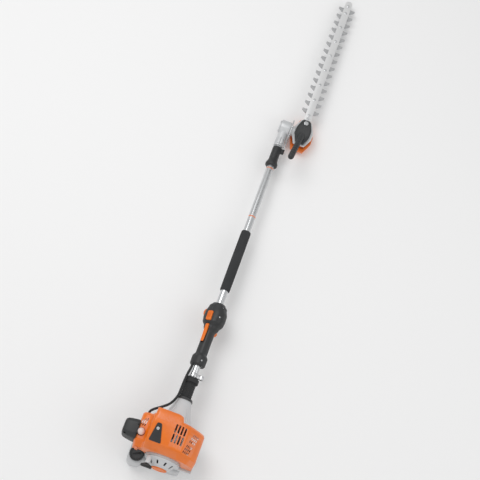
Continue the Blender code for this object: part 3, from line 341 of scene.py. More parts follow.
def smooth_stations(stations: Array, count: int) -> Array:
    """Read a table of section measures along its first column as a smooth, unwavering curve.

    Args:
        stations: Rows of y and the section's measures.
        count: How many sections are wanted.

    Returns:
        That many rows, with each measure eased between its stations by 3t^2 - 2t^3.
    """
    y = np.linspace(stations[0, 0], stations[-1, 0], count)
    k = np.clip(np.searchsorted(stations[:, 0], y, side="right") - 1, 0, len(stations) - 2)
    t = (y - stations[k, 0]) / (stations[k + 1, 0] - stations[k, 0])
    ease = (t * t * (3 - 2 * t))[:, None]
    values = stations[k, 1:] * (1 - ease) + stations[k + 1, 1:] * ease
    return np.column_stack([y, values])


def tube_along(name: str, path: Array, radii: Array, sides: int = 24) -> bpy.types.Object:
    """A round piece carried along a path, whose frame turns as little as it can.

    Args:
        name: The object's name.
        path: The centreline.
        radii: The radius at each of its points.
        sides: How many flats make the turn.

    Returns:
        The object.
    """
    ahead = np.gradient(path, axis=0)
    ahead /= np.linalg.norm(ahead, axis=1, keepdims=True)
    side = np.cross(ahead, np.array([0.31, 0.17, 0.93]))
    side /= np.linalg.norm(side, axis=1, keepdims=True)
    across = np.cross(ahead, side)
    turn = np.linspace(0.0, FULL_TURN, sides, endpoint=False)[None, :, None]
    spoke = np.cos(turn) * side[:, None] + np.sin(turn) * across[:, None]
    return grid(name, path[:, None] + radii[:, None, None] * spoke, sharp=50.0)


def combined(piece: bpy.types.Object, others: Sequence[bpy.types.Object], how: str) -> bpy.types.Object:
    """Apply Booleans to a piece and remove the other shapes.

    Args:
        piece: The piece that stays.
        others: The shapes that are cut out of it or joined to it.
        how: DIFFERENCE or UNION.

    Returns:
        The piece, shaded again.
    """
    for other in others:
        step = piece.modifiers.new(other.name, "BOOLEAN")
        step.operation = how
        step.object = other
        step.solver = "MANIFOLD"
    graph = bpy.context.evaluated_depsgraph_get()
    mesh = bpy.data.meshes.new_from_object(piece.evaluated_get(graph))
    piece.modifiers.clear()
    piece.data = mesh
    for other in others:
        bpy.data.objects.remove(other)
    return crisp(piece)


def carved(piece: bpy.types.Object, *others: bpy.types.Object) -> bpy.types.Object:
    """Cut other shapes out of a piece."""
    return combined(piece, others, "DIFFERENCE")


def fused(piece: bpy.types.Object, *others: bpy.types.Object) -> bpy.types.Object:
    """Join other shapes to a piece."""
    return combined(piece, others, "UNION")


def rounded_box(name: str, low: tuple[float, float, float], high: tuple[float, float, float], radius: float,
                rim: float | None = None) -> bpy.types.Object:
    """A block with round upright corners and rounded rims.

    Args:
        name: The object's name.
        low: Its lowest corner.
        high: Its highest corner.
        radius: The upright corners' radius.
        rim: The rims' radius, or the corners' own when left out.

    Returns:
        The object.
    """
    x0, y0, x1, y1 = low[0] + radius, low[1] + radius, high[0] - radius, high[1] - radius
    outline = (arc((x1, y1), radius, 0.0, 90.0, 6) + arc((x0, y1), radius, 90.0, 180.0, 6)
               + arc((x0, y0), radius, 180.0, 270.0, 6) + arc((x1, y0), radius, 270.0, 360.0, 6))
    return prism(name, outline, low[2], high[2], radius * 0.8 if rim is None else rim, steps=5)


def moved(piece: bpy.types.Object, turn: Matrix) -> bpy.types.Object:
    """Turn a piece's mesh by a matrix given in the tool's frame, with its shift in millimetres."""
    rows = Matrix(TOOL.basis().tolist()).to_4x4().transposed()
    place = Matrix.Translation(TOOL.origin) @ rows
    shift = Matrix.Translation(turn.translation * MM) @ turn.to_3x3().to_4x4()
    piece.data.transform(place @ shift @ place.inverted())
    return piece


# Finishes ----------------------------------------------------------------------------------

class Hue(Enum):
    """The colours of this tool's surfaces, as linear values."""

    ORANGE = (0.86, 0.185, 0.006)
    DEEP_ORANGE = (0.62, 0.10, 0.004)
    BLACK = (0.020, 0.021, 0.022)
    SOFT_BLACK = (0.034, 0.035, 0.037)
    PALE_GREY = (0.60, 0.61, 0.62)
    WARM_GREY = (0.50, 0.50, 0.51)
    ALUMINIUM = (0.66, 0.67, 0.68)
    DULL_ALUMINIUM = (0.50, 0.51, 0.52)
    STEEL = (0.62, 0.62, 0.63)
    DARK_STEEL = (0.26, 0.26, 0.27)
    BULB_PINK = (0.74, 0.50, 0.44)
    WHITE = (0.82, 0.82, 0.82)


def shared_group(name: str, inputs: dict[str, tuple[str, object]], outputs: dict[str, str]) -> bpy.types.NodeTree:
    """Start a shader group with named sockets.

    Args:
        name: The group's name.
        inputs: Each input's socket type and default value.
        outputs: Each output's socket type.

    Returns:
        The group, with its input and output nodes inside.
    """
    tree = bpy.data.node_groups.new(name, "ShaderNodeTree")
    for label, (kind, value) in inputs.items():
        socket = tree.interface.new_socket(name=label, in_out="INPUT", socket_type=kind)
        if value is not None:
            socket.default_value = value
    for label, kind in outputs.items():
        tree.interface.new_socket(name=label, in_out="OUTPUT", socket_type=kind)
    tree.nodes.new("NodeGroupInput").name = "in"
    tree.nodes.new("NodeGroupOutput").name = "out"
    return tree


def grain_group() -> bpy.types.NodeTree:
    """Moulded or cast grain: noise at two scales that gives a height, and a mask of the noise."""
    tree = shared_group("moulded_grain", {"Vector": ("NodeSocketVector", None), "Scale": ("NodeSocketFloat", 900.0),
                                          "Amount": ("NodeSocketFloat", 0.5)},
                        {"Height": "NodeSocketFloat", "Mask": "NodeSocketFloat"})
    nodes, link = tree.nodes, tree.links.new
    fine = nodes.new("ShaderNodeTexNoise")
    fine.inputs["Detail"].default_value = 3.0
    link(nodes["in"].outputs["Vector"], fine.inputs["Vector"])
    link(nodes["in"].outputs["Scale"], fine.inputs["Scale"])
    cells = nodes.new("ShaderNodeTexVoronoi")
    link(nodes["in"].outputs["Vector"], cells.inputs["Vector"])
    link(nodes["in"].outputs["Scale"], cells.inputs["Scale"])
    mix = nodes.new("ShaderNodeMix")
    mix.data_type = "FLOAT"
    mix.inputs["Factor"].default_value = 0.35
    link(fine.outputs["Fac"], mix.inputs["A"])
    link(cells.outputs["Distance"], mix.inputs["B"])
    height = nodes.new("ShaderNodeMath")
    height.operation = "MULTIPLY"
    link(mix.outputs["Result"], height.inputs[0])
    link(nodes["in"].outputs["Amount"], height.inputs[1])
    link(height.outputs["Value"], nodes["out"].inputs["Height"])
    link(fine.outputs["Fac"], nodes["out"].inputs["Mask"])
    return tree


def wear_group() -> bpy.types.NodeTree:
    """Handling marks: soft noise patches, used for colour and roughness."""
    tree = shared_group("handling_marks", {"Vector": ("NodeSocketVector", None), "Scale": ("NodeSocketFloat", 14.0),
                                           "Low": ("NodeSocketFloat", 0.4), "High": ("NodeSocketFloat", 0.5)},
                        {"Mask": "NodeSocketFloat", "Value": "NodeSocketFloat"})
    nodes, link = tree.nodes, tree.links.new
    patches = nodes.new("ShaderNodeTexNoise")
    patches.inputs["Detail"].default_value = 6.0
    patches.inputs["Roughness"].default_value = 0.62
    link(nodes["in"].outputs["Vector"], patches.inputs["Vector"])
    link(nodes["in"].outputs["Scale"], patches.inputs["Scale"])
    span = nodes.new("ShaderNodeMapRange")
    span.interpolation_type = "SMOOTHSTEP"
    span.inputs["From Min"].default_value = 0.36
    span.inputs["From Max"].default_value = 0.68
    link(patches.outputs["Fac"], span.inputs["Value"])
    value = nodes.new("ShaderNodeMapRange")
    link(patches.outputs["Fac"], value.inputs["Value"])
    link(nodes["in"].outputs["Low"], value.inputs["To Min"])
    link(nodes["in"].outputs["High"], value.inputs["To Max"])
    value.inputs["From Min"].default_value = 0.3
    value.inputs["From Max"].default_value = 0.7
    link(span.outputs["Result"], nodes["out"].inputs["Mask"])
    link(value.outputs["Result"], nodes["out"].inputs["Value"])
    return tree


def edge_group() -> bpy.types.NodeTree:
    """Edge wear: where a surface is most convex, broken up by noise."""
    tree = shared_group("edge_wear", {"Vector": ("NodeSocketVector", None), "Strength": ("NodeSocketFloat", 0.5)},
                        {"Mask": "NodeSocketFloat"})
    nodes, link = tree.nodes, tree.links.new
    shape = nodes.new("ShaderNodeNewGeometry")
    span = nodes.new("ShaderNodeMapRange")
    span.inputs["From Min"].default_value = 0.52
    span.inputs["From Max"].default_value = 0.62
    link(shape.outputs["Pointiness"], span.inputs["Value"])
    broken = nodes.new("ShaderNodeTexNoise")
    broken.inputs["Scale"].default_value = 160.0
    link(nodes["in"].outputs["Vector"], broken.inputs["Vector"])
    times = nodes.new("ShaderNodeMath")
    times.operation = "MULTIPLY"
    link(span.outputs["Result"], times.inputs[0])
    link(broken.outputs["Fac"], times.inputs[1])
    scaled = nodes.new("ShaderNodeMath")
    scaled.operation = "MULTIPLY"
    scaled.use_clamp = True
    link(times.outputs["Value"], scaled.inputs[0])
    link(nodes["in"].outputs["Strength"], scaled.inputs[1])
    link(scaled.outputs["Value"], nodes["out"].inputs["Mask"])
    return tree


@dataclass(frozen=True)
class Finish:
    """One surface finish: two colours, a gloss that varies, and a grain that stands up.

    Args:
        name: The material's name.
        colour: The main colour.
        aged: The colour of handled and shaded patches.
        gloss: The lowest and highest roughness.
        metal: How metallic it is.
        grain: How many grains there are to a metre.
        depth: The grain's height in metres.
        patches: How many patches there are to a metre.
        mixing: How strongly the patches show.
        edge: The colour of worn edges.
        wear: How strongly edges are worn.
        stretch: The grain's scale along x, y and z, for brushed or drawn metal.
        coat: The weight of a clear coat.
    """

    name: str
    colour: Hue
    aged: Hue
    gloss: tuple[float, float] = (0.38, 0.52)
    metal: float = 0.0
    grain: float = 1400.0
    depth: float = 0.00003
    patches: float = 16.0
    mixing: float = 0.35
    edge: Hue = Hue.WHITE
    wear: float = 0.15
    stretch: tuple[float, float, float] = (1.0, 1.0, 1.0)
    coat: float = 0.0

    def material(self) -> bpy.types.Material:
        """Return this finish's material, built the first time it is asked for."""
        known = bpy.data.materials.get(self.name)
        return known if known else self.built()

    def built(self) -> bpy.types.Material:
        """Build the node tree: the groups feed colour, roughness and a Bump node.

        Returns:
            The material.
        """
        made = bpy.data.materials.new(self.name)
        made.use_nodes = True
        nodes, link = made.node_tree.nodes, made.node_tree.links.new
        shader = nodes["Principled BSDF"]
        shader.inputs["Metallic"].default_value = self.metal
        shader.inputs["Coat Weight"].default_value = self.coat
        shader.inputs["Coat Roughness"].default_value = 0.18
        place = nodes.new("ShaderNodeTexCoord")
        mapping = nodes.new("ShaderNodeMapping")
        mapping.inputs["Scale"].default_value = self.stretch
        link(place.outputs["Object"], mapping.inputs["Vector"])
        grain = self.group(made, "moulded_grain", {"Scale": self.grain, "Amount": 1.0})
        marks = self.group(made, "handling_marks",
                           {"Scale": self.patches, "Low": self.gloss[0], "High": self.gloss[1]})
        edges = self.group(made, "edge_wear", {"Strength": self.wear})
        link(mapping.outputs["Vector"], grain.inputs["Vector"])
        link(place.outputs["Object"], marks.inputs["Vector"])
        link(place.outputs["Object"], edges.inputs["Vector"])
        amount = nodes.new("ShaderNodeMath")
        amount.operation = "MULTIPLY"
        amount.inputs[1].default_value = self.mixing
        link(marks.outputs["Mask"], amount.inputs[0])
        aged = self.blended(made, self.colour.value, self.aged.value, amount.outputs["Value"])
        worn = self.blended(made, aged, self.edge.value, edges.outputs["Mask"])
        link(worn, shader.inputs["Base Color"])
        link(marks.outputs["Value"], shader.inputs["Roughness"])
        bump = nodes.new("ShaderNodeBump")
        bump.inputs["Distance"].default_value = self.depth
        bump.inputs["Strength"].default_value = 0.6
        link(grain.outputs["Height"], bump.inputs["Height"])
        link(bump.outputs["Normal"], shader.inputs["Normal"])
        return made

    @staticmethod
    def group(made: bpy.types.Material, name: str, values: dict[str, float]) -> bpy.types.Node:
        """Place one of the shared groups in a material with its own values."""
        node = made.node_tree.nodes.new("ShaderNodeGroup")
        node.node_tree = bpy.data.node_groups[name]
        for label, value in values.items():
            node.inputs[label].default_value = value
        return node

    @staticmethod
    def blended(made: bpy.types.Material, first: object, second: tuple[float, float, float],
                factor: bpy.types.NodeSocket) -> bpy.types.NodeSocket:
        """Mix two colours by a factor.

        Args:
            made: The material.
            first: A colour or the socket that gives one.
            second: The other colour.
            factor: The socket that says how much of the second shows.

        Returns:
            The mixed colour's socket.
        """
        mix = made.node_tree.nodes.new("ShaderNodeMix")
        mix.data_type = "RGBA"
        made.node_tree.links.new(factor, mix.inputs["Factor"])
        colours = [socket for socket in mix.inputs if socket.type == "RGBA"]
        if isinstance(first, tuple):
            colours[0].default_value = (*first, 1.0)
        else:
            made.node_tree.links.new(first, colours[0])
        colours[1].default_value = (*second, 1.0)
        return next(socket for socket in mix.outputs if socket.type == "RGBA")


class Look(Enum):
    """The finishes that the trimmer's pieces wear."""

    HOOD = Finish("hood_orange", Hue.ORANGE, Hue.DEEP_ORANGE, (0.30, 0.44), coat=0.12, mixing=0.22)
    TRIM = Finish("trim_orange", Hue.ORANGE, Hue.DEEP_ORANGE, (0.36, 0.50), grain=1900.0)
    BLACK = Finish("black_nylon", Hue.BLACK, Hue.SOFT_BLACK, (0.40, 0.58), depth=0.00005, edge=Hue.WARM_GREY,
                   wear=0.08)
    GREY = Finish("housing_grey", Hue.PALE_GREY, Hue.WARM_GREY, (0.40, 0.55), mixing=0.3)
    RUBBER = Finish("sleeve_rubber", Hue.BLACK, Hue.SOFT_BLACK, (0.66, 0.82), grain=1100.0, wear=0.0)
    FOAM = Finish("grip_foam", Hue.SOFT_BLACK, Hue.BLACK, (0.84, 0.96), grain=2300.0, depth=0.00022, wear=0.0)
    CASTING = Finish("gear_casting", Hue.ALUMINIUM, Hue.DULL_ALUMINIUM, (0.36, 0.54), metal=0.55, grain=900.0,
                     depth=0.00009, wear=0.4)
    TUBE = Finish("drawn_tube", Hue.ALUMINIUM, Hue.DULL_ALUMINIUM, (0.20, 0.32), metal=0.9, grain=900.0, depth=0.00001,
                  stretch=(1.0, 0.02, 1.0), wear=0.0)
    STEEL = Finish("turned_steel", Hue.STEEL, Hue.DULL_ALUMINIUM, (0.18, 0.34), metal=1.0, grain=1200.0, depth=0.00001,
                   stretch=(1.0, 0.06, 1.0), wear=0.2)
    BAR = Finish("guide_bar_steel", Hue.WHITE, Hue.ALUMINIUM, (0.28, 0.42), metal=0.6, grain=1500.0, depth=0.00001,
                 stretch=(0.06, 1.0, 1.0), wear=0.2)
    BLADE = Finish("ground_blade", Hue.DULL_ALUMINIUM, Hue.DARK_STEEL, (0.24, 0.40), metal=0.85, grain=1800.0,
                   depth=0.00002, stretch=(0.05, 1.0, 1.0), wear=0.6)
    BULB = Finish("primer_silicone", Hue.BULB_PINK, Hue.WHITE, (0.18, 0.30), grain=500.0, depth=0.00001, coat=0.3)
    DARK = Finish("dark_recess", Hue.BLACK, Hue.BLACK, (0.7, 0.8), wear=0.0)
    PLATED = Finish("zinc_plate", Hue.ALUMINIUM, Hue.STEEL, (0.22, 0.34), metal=0.95, grain=900.0, depth=0.00002)

    def dress(self, piece: bpy.types.Object) -> bpy.types.Object:
        """Give a piece this finish alone."""
        piece.data.materials.clear()
        piece.data.materials.append(self.value.material())
        return piece


SLOT_LOOKS = {"orange_plastic": Look.HOOD, "black_plastic": Look.BLACK, "pale_grey_plastic": Look.GREY,
              "rubber": Look.RUBBER, "foam": Look.FOAM, "cast_aluminium": Look.CASTING, "bright_steel": Look.STEEL,
              "blade_steel": Look.BLADE, "primer_rubber": Look.BULB}


@dataclass
class SubAssembly:
    """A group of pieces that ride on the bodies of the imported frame."""

    made: list[bpy.types.Object] = field(default_factory=list, init=False)

    def settle(self, piece: bpy.types.Object, look: Look, body: str, slot: str, *nodes: str) -> bpy.types.Object:
        """Dress a finished piece and tie it to the frame.

        Args:
            piece: The finished piece.
            look: Its finish.
            body: The body it rides on.
            slot: The record's material slot; not used.
            nodes: The frame's nodes that it stands for.

        Returns:
            The piece.
        """
        look.dress(piece)
        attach(piece, body)
        if nodes:
            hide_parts(*nodes)
        self.made.append(piece)
        return piece

    def build(self) -> None:
        """Make the pieces; each sub-assembly has its own."""
        raise NotImplementedError


def screw(name: str, x: float, y: float, z: float, radius: float, height: float,
          axis: tuple[float, float, float] = (0.0, 0.0, 1.0)) -> bpy.types.Object:
    """A pan-head screw with a round recess.

    Args:
        name: The object's name.
        x: Where its seat is.
        y: Where its seat is.
        z: Where its seat is.
        radius: The head's radius.
        height: The head's height.
        axis: The direction that the head faces.

    Returns:
        The object.
    """
    profile = [(-0.6, 0.0), (-0.6, radius), (0.55 * height, radius), (height, 0.62 * radius), (height, 0.34 * radius),
               (0.35 * height, 0.30 * radius), (0.35 * height, 0.0)]
    piece = turned(name, profile, (x, y, z), axis, sides=24, soft=0.3)
    return piece


CAP_CENTRE = (-81.0, -60.0, -34.0)
CAP_NORMAL = (0.0, -0.5, 0.866)


def gathered(name: str, pieces: Sequence[bpy.types.Object]) -> bpy.types.Object:
    """Bring separate meshes into one object without changing them."""
    meshes = [piece.data for piece in pieces]
    points, faces, start = [], [], 0
    for mesh in meshes:
        places = np.zeros(len(mesh.vertices) * 3)
        mesh.vertices.foreach_get("co", places)
        points.append(places.reshape(-1, 3))
        faces += [[start + corner for corner in face.vertices] for face in mesh.polygons]
        start += len(mesh.vertices)
    joined = bpy.data.meshes.new(name)
    joined.from_pydata(np.vstack(points).tolist(), [], faces)
    for piece in pieces:
        bpy.data.objects.remove(piece)
    item = bpy.data.objects.new(name, joined)
    bpy.context.scene.collection.objects.link(item)
    return crisp(item)


def bevelled(piece: bpy.types.Object, width: float, angle: float = 48.0) -> bpy.types.Object:
    """Soften a piece's edges past an angle by a narrow bevel of two stretches."""
    soften = piece.modifiers.new("edges", "BEVEL")
    soften.width = width * MM
    soften.segments = 2
    soften.limit_method = "ANGLE"
    soften.angle_limit = math.radians(angle)
    return piece


# Engine ------------------------------------------------------------------------------------

@dataclass
class EngineHood(SubAssembly):
    """The orange hood, its grids and slots, the black inset on its hump and the screw.

    Args:
        left: The hood's left side.
        right: Its right side.
        front: The front face of its shoulders.
        nose: The front face of its hump.
        rear: Its rear face.
        bottom: Its lower rim.
        wall: Its thickness.
        soft: How far the arch's corners are rounded.
    """

    left: float = -104.0
    right: float = 99.0
    front: float = 49.0
    nose: float = 67.0
    rear: float = -56.0
    bottom: float = -28.0
    wall: float = 2.6
    soft: float = 5.0

    def arch(self, height: float, spread: float, inset: float, bottom: float) -> Array:
        """One section: a low left side, a hump in the middle and a slope on the right, with soft corners."""
        left, right = self.left * spread + inset, self.right * spread - inset
        i = inset
        points = [(left, 58), (left + 3.5, 70), (left + 12, 76), (i - 78, 78), (i - 72, 84), (i - 69.5, 108),
                  (i - 66, 114), (i - 61, 116), (6 - i, 116), (27 - i, 111), (45 - i, 101), (50 - i, 97),
                  (right - 20, 66), (right - 6, 46), (right, 32)]
        shape = [(left, bottom)] + [(x, z * height - inset) for x, z in points] + [(right, bottom)]
        return filleted(shape, self.soft, False, 3)

    def shell(self, name: str, inset: float, bottom: float) -> bpy.types.Object:
        """A solid of arches from front to rear, whose height follows a line with soft corners.

        Args:
            name: The object's name.
            inset: How far inside the outer surface it lies.
            bottom: Where its lower face is.

        Returns:
            The object.
        """
        heights = [(self.front, 90.0), (self.front - 6.0, 97.5), (self.front - 20.0, 100.0), (22.0, 100.0),
                   (-38.0, 86.0), (self.rear, 58.0)]
        line = filleted(heights, 5.0, False, 5)
        y = np.clip(line[:, 0], self.rear + inset, self.front - inset)
        y = y - np.arange(len(y)) * 1e-4
        spread = np.interp(-y, [-self.front, 6.0 - self.front, 38.0, -self.rear], [0.97, 1.0, 1.0, 0.96])
        arches = [self.arch(h / 100.0, s, inset, bottom) for h, s in zip(line[:, 1], spread)]
        rows = np.array([np.column_stack([arch[:, 0], np.full(len(arch), at), arch[:, 1]])
                         for arch, at in zip(arches, y)])
        return grid(name, rows)

    def nose_shell(self, name: str, inset: float) -> bpy.types.Object:
        """The hump's nose over the clutch cone, whose front corners are drawn in."""
        stations = [(self.nose - inset, 8.0, 14.0), (self.nose - 2.5 - inset, 4.0, 16.5), (self.nose - 7.0, 1.4, 19.0),
                    (45.0, 0.9, 24.0), (33.0 - inset, 0.6, 30.0)]
        rows = []
        for y, drop, right in stations:
            left, top = inset - 66.0, 116.0 - drop - inset
            shape = [(left, 20 - inset), (left, top - 8), (left + 4, top - 2), (left + 9, top),
                     (right - inset - 12, top), (right - inset, top - 10), (right - inset, 20 - inset)]
            line = filleted(shape, 4.0, False, 3)
            rows.append(np.column_stack([line[:, 0], np.full(len(line), y), line[:, 1]]))
        return grid(name, np.array(rows))

    def slot(self, x: float, y: float, half: float, width: float, slant: float, low: float) -> bpy.types.Object:
        """A round-ended cutter for one slot, whose long side leans by a slant per millimetre."""
        ends = arc((0.0, half - width / 2), width / 2, 0.0, 180.0, 4)
        ends += arc((0.0, width / 2 - half), width / 2, 180.0, 360.0, 4)
        return prism("slot_cutter", [(x + a + slant * b, y + b) for a, b in ends], low, 130.0, 0.1, steps=1)

    def make_hood(self) -> bpy.types.Object:
        """Hollow the shell, add the nose, and cut the openings, slots and grids."""
        hood = self.shell("engine_hood_shell", 0.0, self.bottom)
        carved(hood, self.shell("hood_inside", self.wall, self.bottom - 10.0))
        fused(hood, self.nose_shell("hood_nose", 0.0))
        carved(hood, self.nose_shell("hood_nose_inside", self.wall))
        carved(hood,
               rounded_box("front_slot", (-63, 30, -40), (63, 70, 2), 1.0),
               turned("front_hole", [(30, 0), (30, 64), (58, 64), (58, 0)], (0, 0, 0), (0, 1, 0), 72, 0.1),
               turned("nose_hole", [(50, 0), (50, 56), (70, 56), (70, 0)], (0, 0, 0), (0, 1, 0), 72, 0.1),
               rounded_box("rear_slot", (-62, -70, -40), (62, -48, -14), 1.0),
               turned("rear_hole", [(-70, 0), (-70, 58), (-48, 58), (-48, 0)], (0, 0, 0), (0, 1, 0), 72, 0.1),
               rounded_box("filter_hole", (-120, -33, 0), (-95, 17, 60), 5.0, 1.0),
               turned("bulb_hole", [(60, 0), (60, 12.5), (90, 12.5), (90, 0)], (-90, -14, 0), (0, 0, 1), 40, 0.1),
               turned("outlet_hole", [(85, 0), (85, 13.0), (110, 13.0), (110, 0)], (0, -15, 20), (1, 0, 0), 40, 0.1),
               turned("cap_notch", [(-20, 0), (-20, 28), (60, 28), (60, 0)], CAP_CENTRE, CAP_NORMAL, 56, 0.1),
               rounded_box("corner_notch", (-125, -95, -45), (-86, -48, -2), 2.0))
        cooling = [self.slot(6.2 + 10.0 * column, y, 13.5, 5.6, 0.02, 85.0)
                   for y in (-7.5, 21.6) for column in range(4)]
        intake = [self.slot(x, (a + b) / 2, (b - a) / 2, 3.0, 0.16, 60.0)
                  for x, a, b in ((-84.5, 4.0, 31.0), (-91.0, 4.0, 28.0), (-97.0, 8.0, 22.0))]
        mesh_holes = [self.slot(58.0 + 5.2 * column + 0.25 * y, y, 4.2, 2.8, 0.25, 20.0)
                      for y in (-30.0, -20.0, -10.0, 6.0, 16.0, 26.0) for column in range(4)]
        carved(hood, gathered("cooling_slots", cooling))
        carved(hood, gathered("intake_slots", intake))
        carved(hood, gathered("mesh_holes", mesh_holes))
        return bevelled(hood, 0.6)

    def build(self) -> None:
        """Make the hood, the inset and the screw."""
        self.settle(self.make_hood(), Look.HOOD, "powerhead", "orange_plastic", "engine_hood")
        slope = math.atan2(116.0 * 0.14, 60.0)
        place = Matrix.Translation((0.0, 22.0, 116.0)) @ Matrix.Rotation(slope, 4, "X")
        outline = filleted([(-52, -2), (-38, -2), (-22, -60), (-61, -60)], 5.0, True, 5)
        inset = moved(prism("hood_inset_plate", outline, 0.1, 1.8, 0.8, steps=4), place)
        self.settle(inset, Look.BLACK, "powerhead", "black_plastic", "hood_inset")
        bolt = moved(screw("hood_inset_screw", -45.0, -19.0, 1.8, 5.0, 2.6), place)
        self.settle(bolt, Look.PLATED, "powerhead", "bright_steel", "hood_screw")


@dataclass
class EngineCovers(SubAssembly):
    """The covers round the engine: filter cover, tank with its cap, starter and the primer bulb.

    Args:
        cap_ribs: How many grip ribs the fuel cap has.
        cover_ribs: How many ribs the filter cover has.
    """

    cap_ribs: int = 24
    cover_ribs: int = 5

    def filter_cover(self) -> None:
        """A soft block over the air filter, whose faces draw in, with ribs and two fixing screws."""
        heights = np.array([0.0, 0.6, 2.2, 5.0, 12.0, 28.0, 39.0, 43.5, 45.5, 46.0])
        inset = np.array([0.8, 0.2, 0.0, 0.0, 0.4, 2.4, 5.0, 8.0, 11.5, 15.0])
        base = np.array(filleted([(-39, -8), (22, -8), (22, 60), (12, 70), (-29, 70), (-39, 60)], 13.0, True, 6))
        middle = np.array([-8.5, 31.0])
        shrink = 1.0 - inset[:, None, None] / np.array([30.5, 39.0])
        flat = middle + (base - middle)[None] * shrink
        x = -101.0 - heights
        rows = np.concatenate([np.broadcast_to(x[:, None, None], (*flat.shape[:2], 1)), flat], axis=2)
        cover = grid("filter_cover_shell", rows)
        grooves = [rounded_box("groove", (-150.0, -27.0 + 11.0 * k, 8.0), (-144.6, -24.6 + 11.0 * k, 56.0), 0.8)
                   for k in range(self.cover_ribs)]
        carved(cover, gathered("cover_grooves", grooves),
               rounded_box("cover_room", (-141, -33.5, -2), (-90, 16.5, 61), 4.0, 1.0))
        self.settle(bevelled(cover, 0.5), Look.BLACK, "powerhead", "black_plastic", "filter_cover")
        for k, y in enumerate((-26.0, 6.0)):
            knob = screw(f"filter_cover_screw_{k + 1}", -104.6, y, 72.5, 3.4, 3.0)
            self.settle(knob, Look.BLACK, "powerhead", "black_plastic")

    def cap(self) -> None:
        """The fuel cap: a turned disc with grip ribs round it and a raised bar on top."""
        start = tuple(np.array(CAP_CENTRE) - np.array(CAP_NORMAL) * 5.6)
        profile = [(-11.5, 0), (-11.5, 18), (0, 18), (0, 23.0), (9, 23.0), (11.6, 20.5), (11.6, 17.5), (10.2, 16.5),
                   (10.2, 0)]
        cap = turned("fuel_cap_body", profile, start, CAP_NORMAL, 72, 1.0)
        side, across, along = axis_basis(np.array(CAP_NORMAL, float))
        ribs = []
        for k in range(self.cap_ribs):
            turn = FULL_TURN * k / self.cap_ribs
            spoke = math.cos(turn) * side + math.sin(turn) * across
            foot = np.array(start) + spoke * 22.6
            ribs.append(turned("rib", [(0.8, 0), (0.8, 1.3), (8.4, 1.3), (8.4, 0)], tuple(foot), CAP_NORMAL, 8, 0.2))
        fused(cap, *ribs)
        bar = turned("bar", [(-14, 0), (-14, 3.4), (14, 3.4), (14, 0)], tuple(np.array(start) + along * 10.4),
                     tuple(side * 0.9 + across * 0.45), 20, 1.2)
        self.settle(bevelled(fused(cap, bar), 0.3), Look.BLACK, "tank_cap", "black_plastic", "fuel_cap")

    def starter(self) -> None:
        """The tapered starter housing with vents, its orange disc, and the grip on its boss."""
        shell = [(85.0, 0.0), (88.0, 0.0), (88.0, 27.0), (84.0, 32.0), (74.0, 42.0), (66.0, 53.0), (62.3, 54.0),
                 (62.3, 51.0), (66.0, 50.0), (73.0, 40.0), (82.0, 30.5), (85.0, 26.0)]
        housing = turned("starter_housing_shell", shell[1:] + shell[:1], (0, 0, 0), (0, -1, 0), 96, 2.0)
        boss = turned("boss", [(64, 0), (64, 8), (89, 8), (89, 0)], (-40, 0, 30), (0, -1, 0), 32, 1.5)
        fused(housing, boss)
        vents = []
        for k in range(10):
            if k in (3, 4):
                continue
            turn = math.radians(36.0 * k + 18.0)
            vent = rounded_box("vent", (-3.0, 33.0, -12.0), (3.0, 46.0, 12.0), 2.4, 0.5)
            spin = Matrix.Rotation(turn, 4, "Y") @ Matrix.Rotation(math.radians(90.0), 4, "X")
            vents.append(moved(vent, Matrix.Translation((0.0, -76.0, 0.0)) @ spin))
        carved(housing, gathered("starter_vents", vents))
        self.settle(bevelled(housing, 0.4), Look.GREY, "powerhead", "pale_grey_plastic", "starter_housing")
        disc = turned("starter_badge", [(88.2, 0), (88.2, 25.5), (90, 25), (91.5, 22), (91.0, 20.5), (90.6, 0)],
                      (0, 0, 0), (0, -1, 0), 72, 0.8)
        self.settle(disc, Look.TRIM, "powerhead", "orange_plastic", "starter_disc")
        grip = prism("grip", filleted([(-58, -103), (-22, -103), (-22, -95), (-33, -90), (-47, -90), (-58, -95)], 4.0,
                                      True, 5), 24.0, 36.0, 4.5, steps=5)
        rope = turned("rope", [(66, 0), (66, 1.8), (95, 1.8), (95, 0)], (-40, 0, 30), (0, -1, 0), 16, 0.1)
        self.settle(fused(grip, rope), Look.BLACK, "pull_grip", "black_plastic", "starter_grip")

    def tank(self) -> None:
        """The pale tank: rounded lumps fused together, flat where it stands, with a neck under the cap."""
        place = np.array(CAP_CENTRE)
        normal = np.array(CAP_NORMAL)
        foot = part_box("fuel_tank")[0][2] / MM
        neck = turned("neck", [(0, 0), (0, 25), (26, 25), (28, 24), (28, 0)], tuple(place - normal * 34),
                      CAP_NORMAL, 64, 1.5)
        body = rounded_box("fuel_tank_shell", (-70, -20, -125), (66, 31, -36), 12.0, 7.0)
        rear = rounded_box("rear", (-72, -72, -125), (64, -10, -60), 13.0, 7.0)
        lobe = rounded_box("lobe", (-107, -88, -125), (-59, 0, -52), 17.0, 9.0)
        fused(body, rear, lobe, neck)
        floor = rounded_box("floor_cutter", (-400, -400, -400), (400, 400, 0), 1.0)
        level = Matrix(TOOL.basis().tolist()).to_4x4()
        sink = Matrix.Translation((0.0, 0.0, foot - TOOL.origin.z / MM))
        carved(body, moved(floor, level @ sink))
        carved(body, turned("mouth", [(0, 0), (0, 19), (34, 19), (34, 0)], tuple(place - normal * 24),
                            CAP_NORMAL, 48))
        self.settle(bevelled(body, 1.2), Look.GREY, "powerhead", "pale_grey_plastic", "fuel_tank")

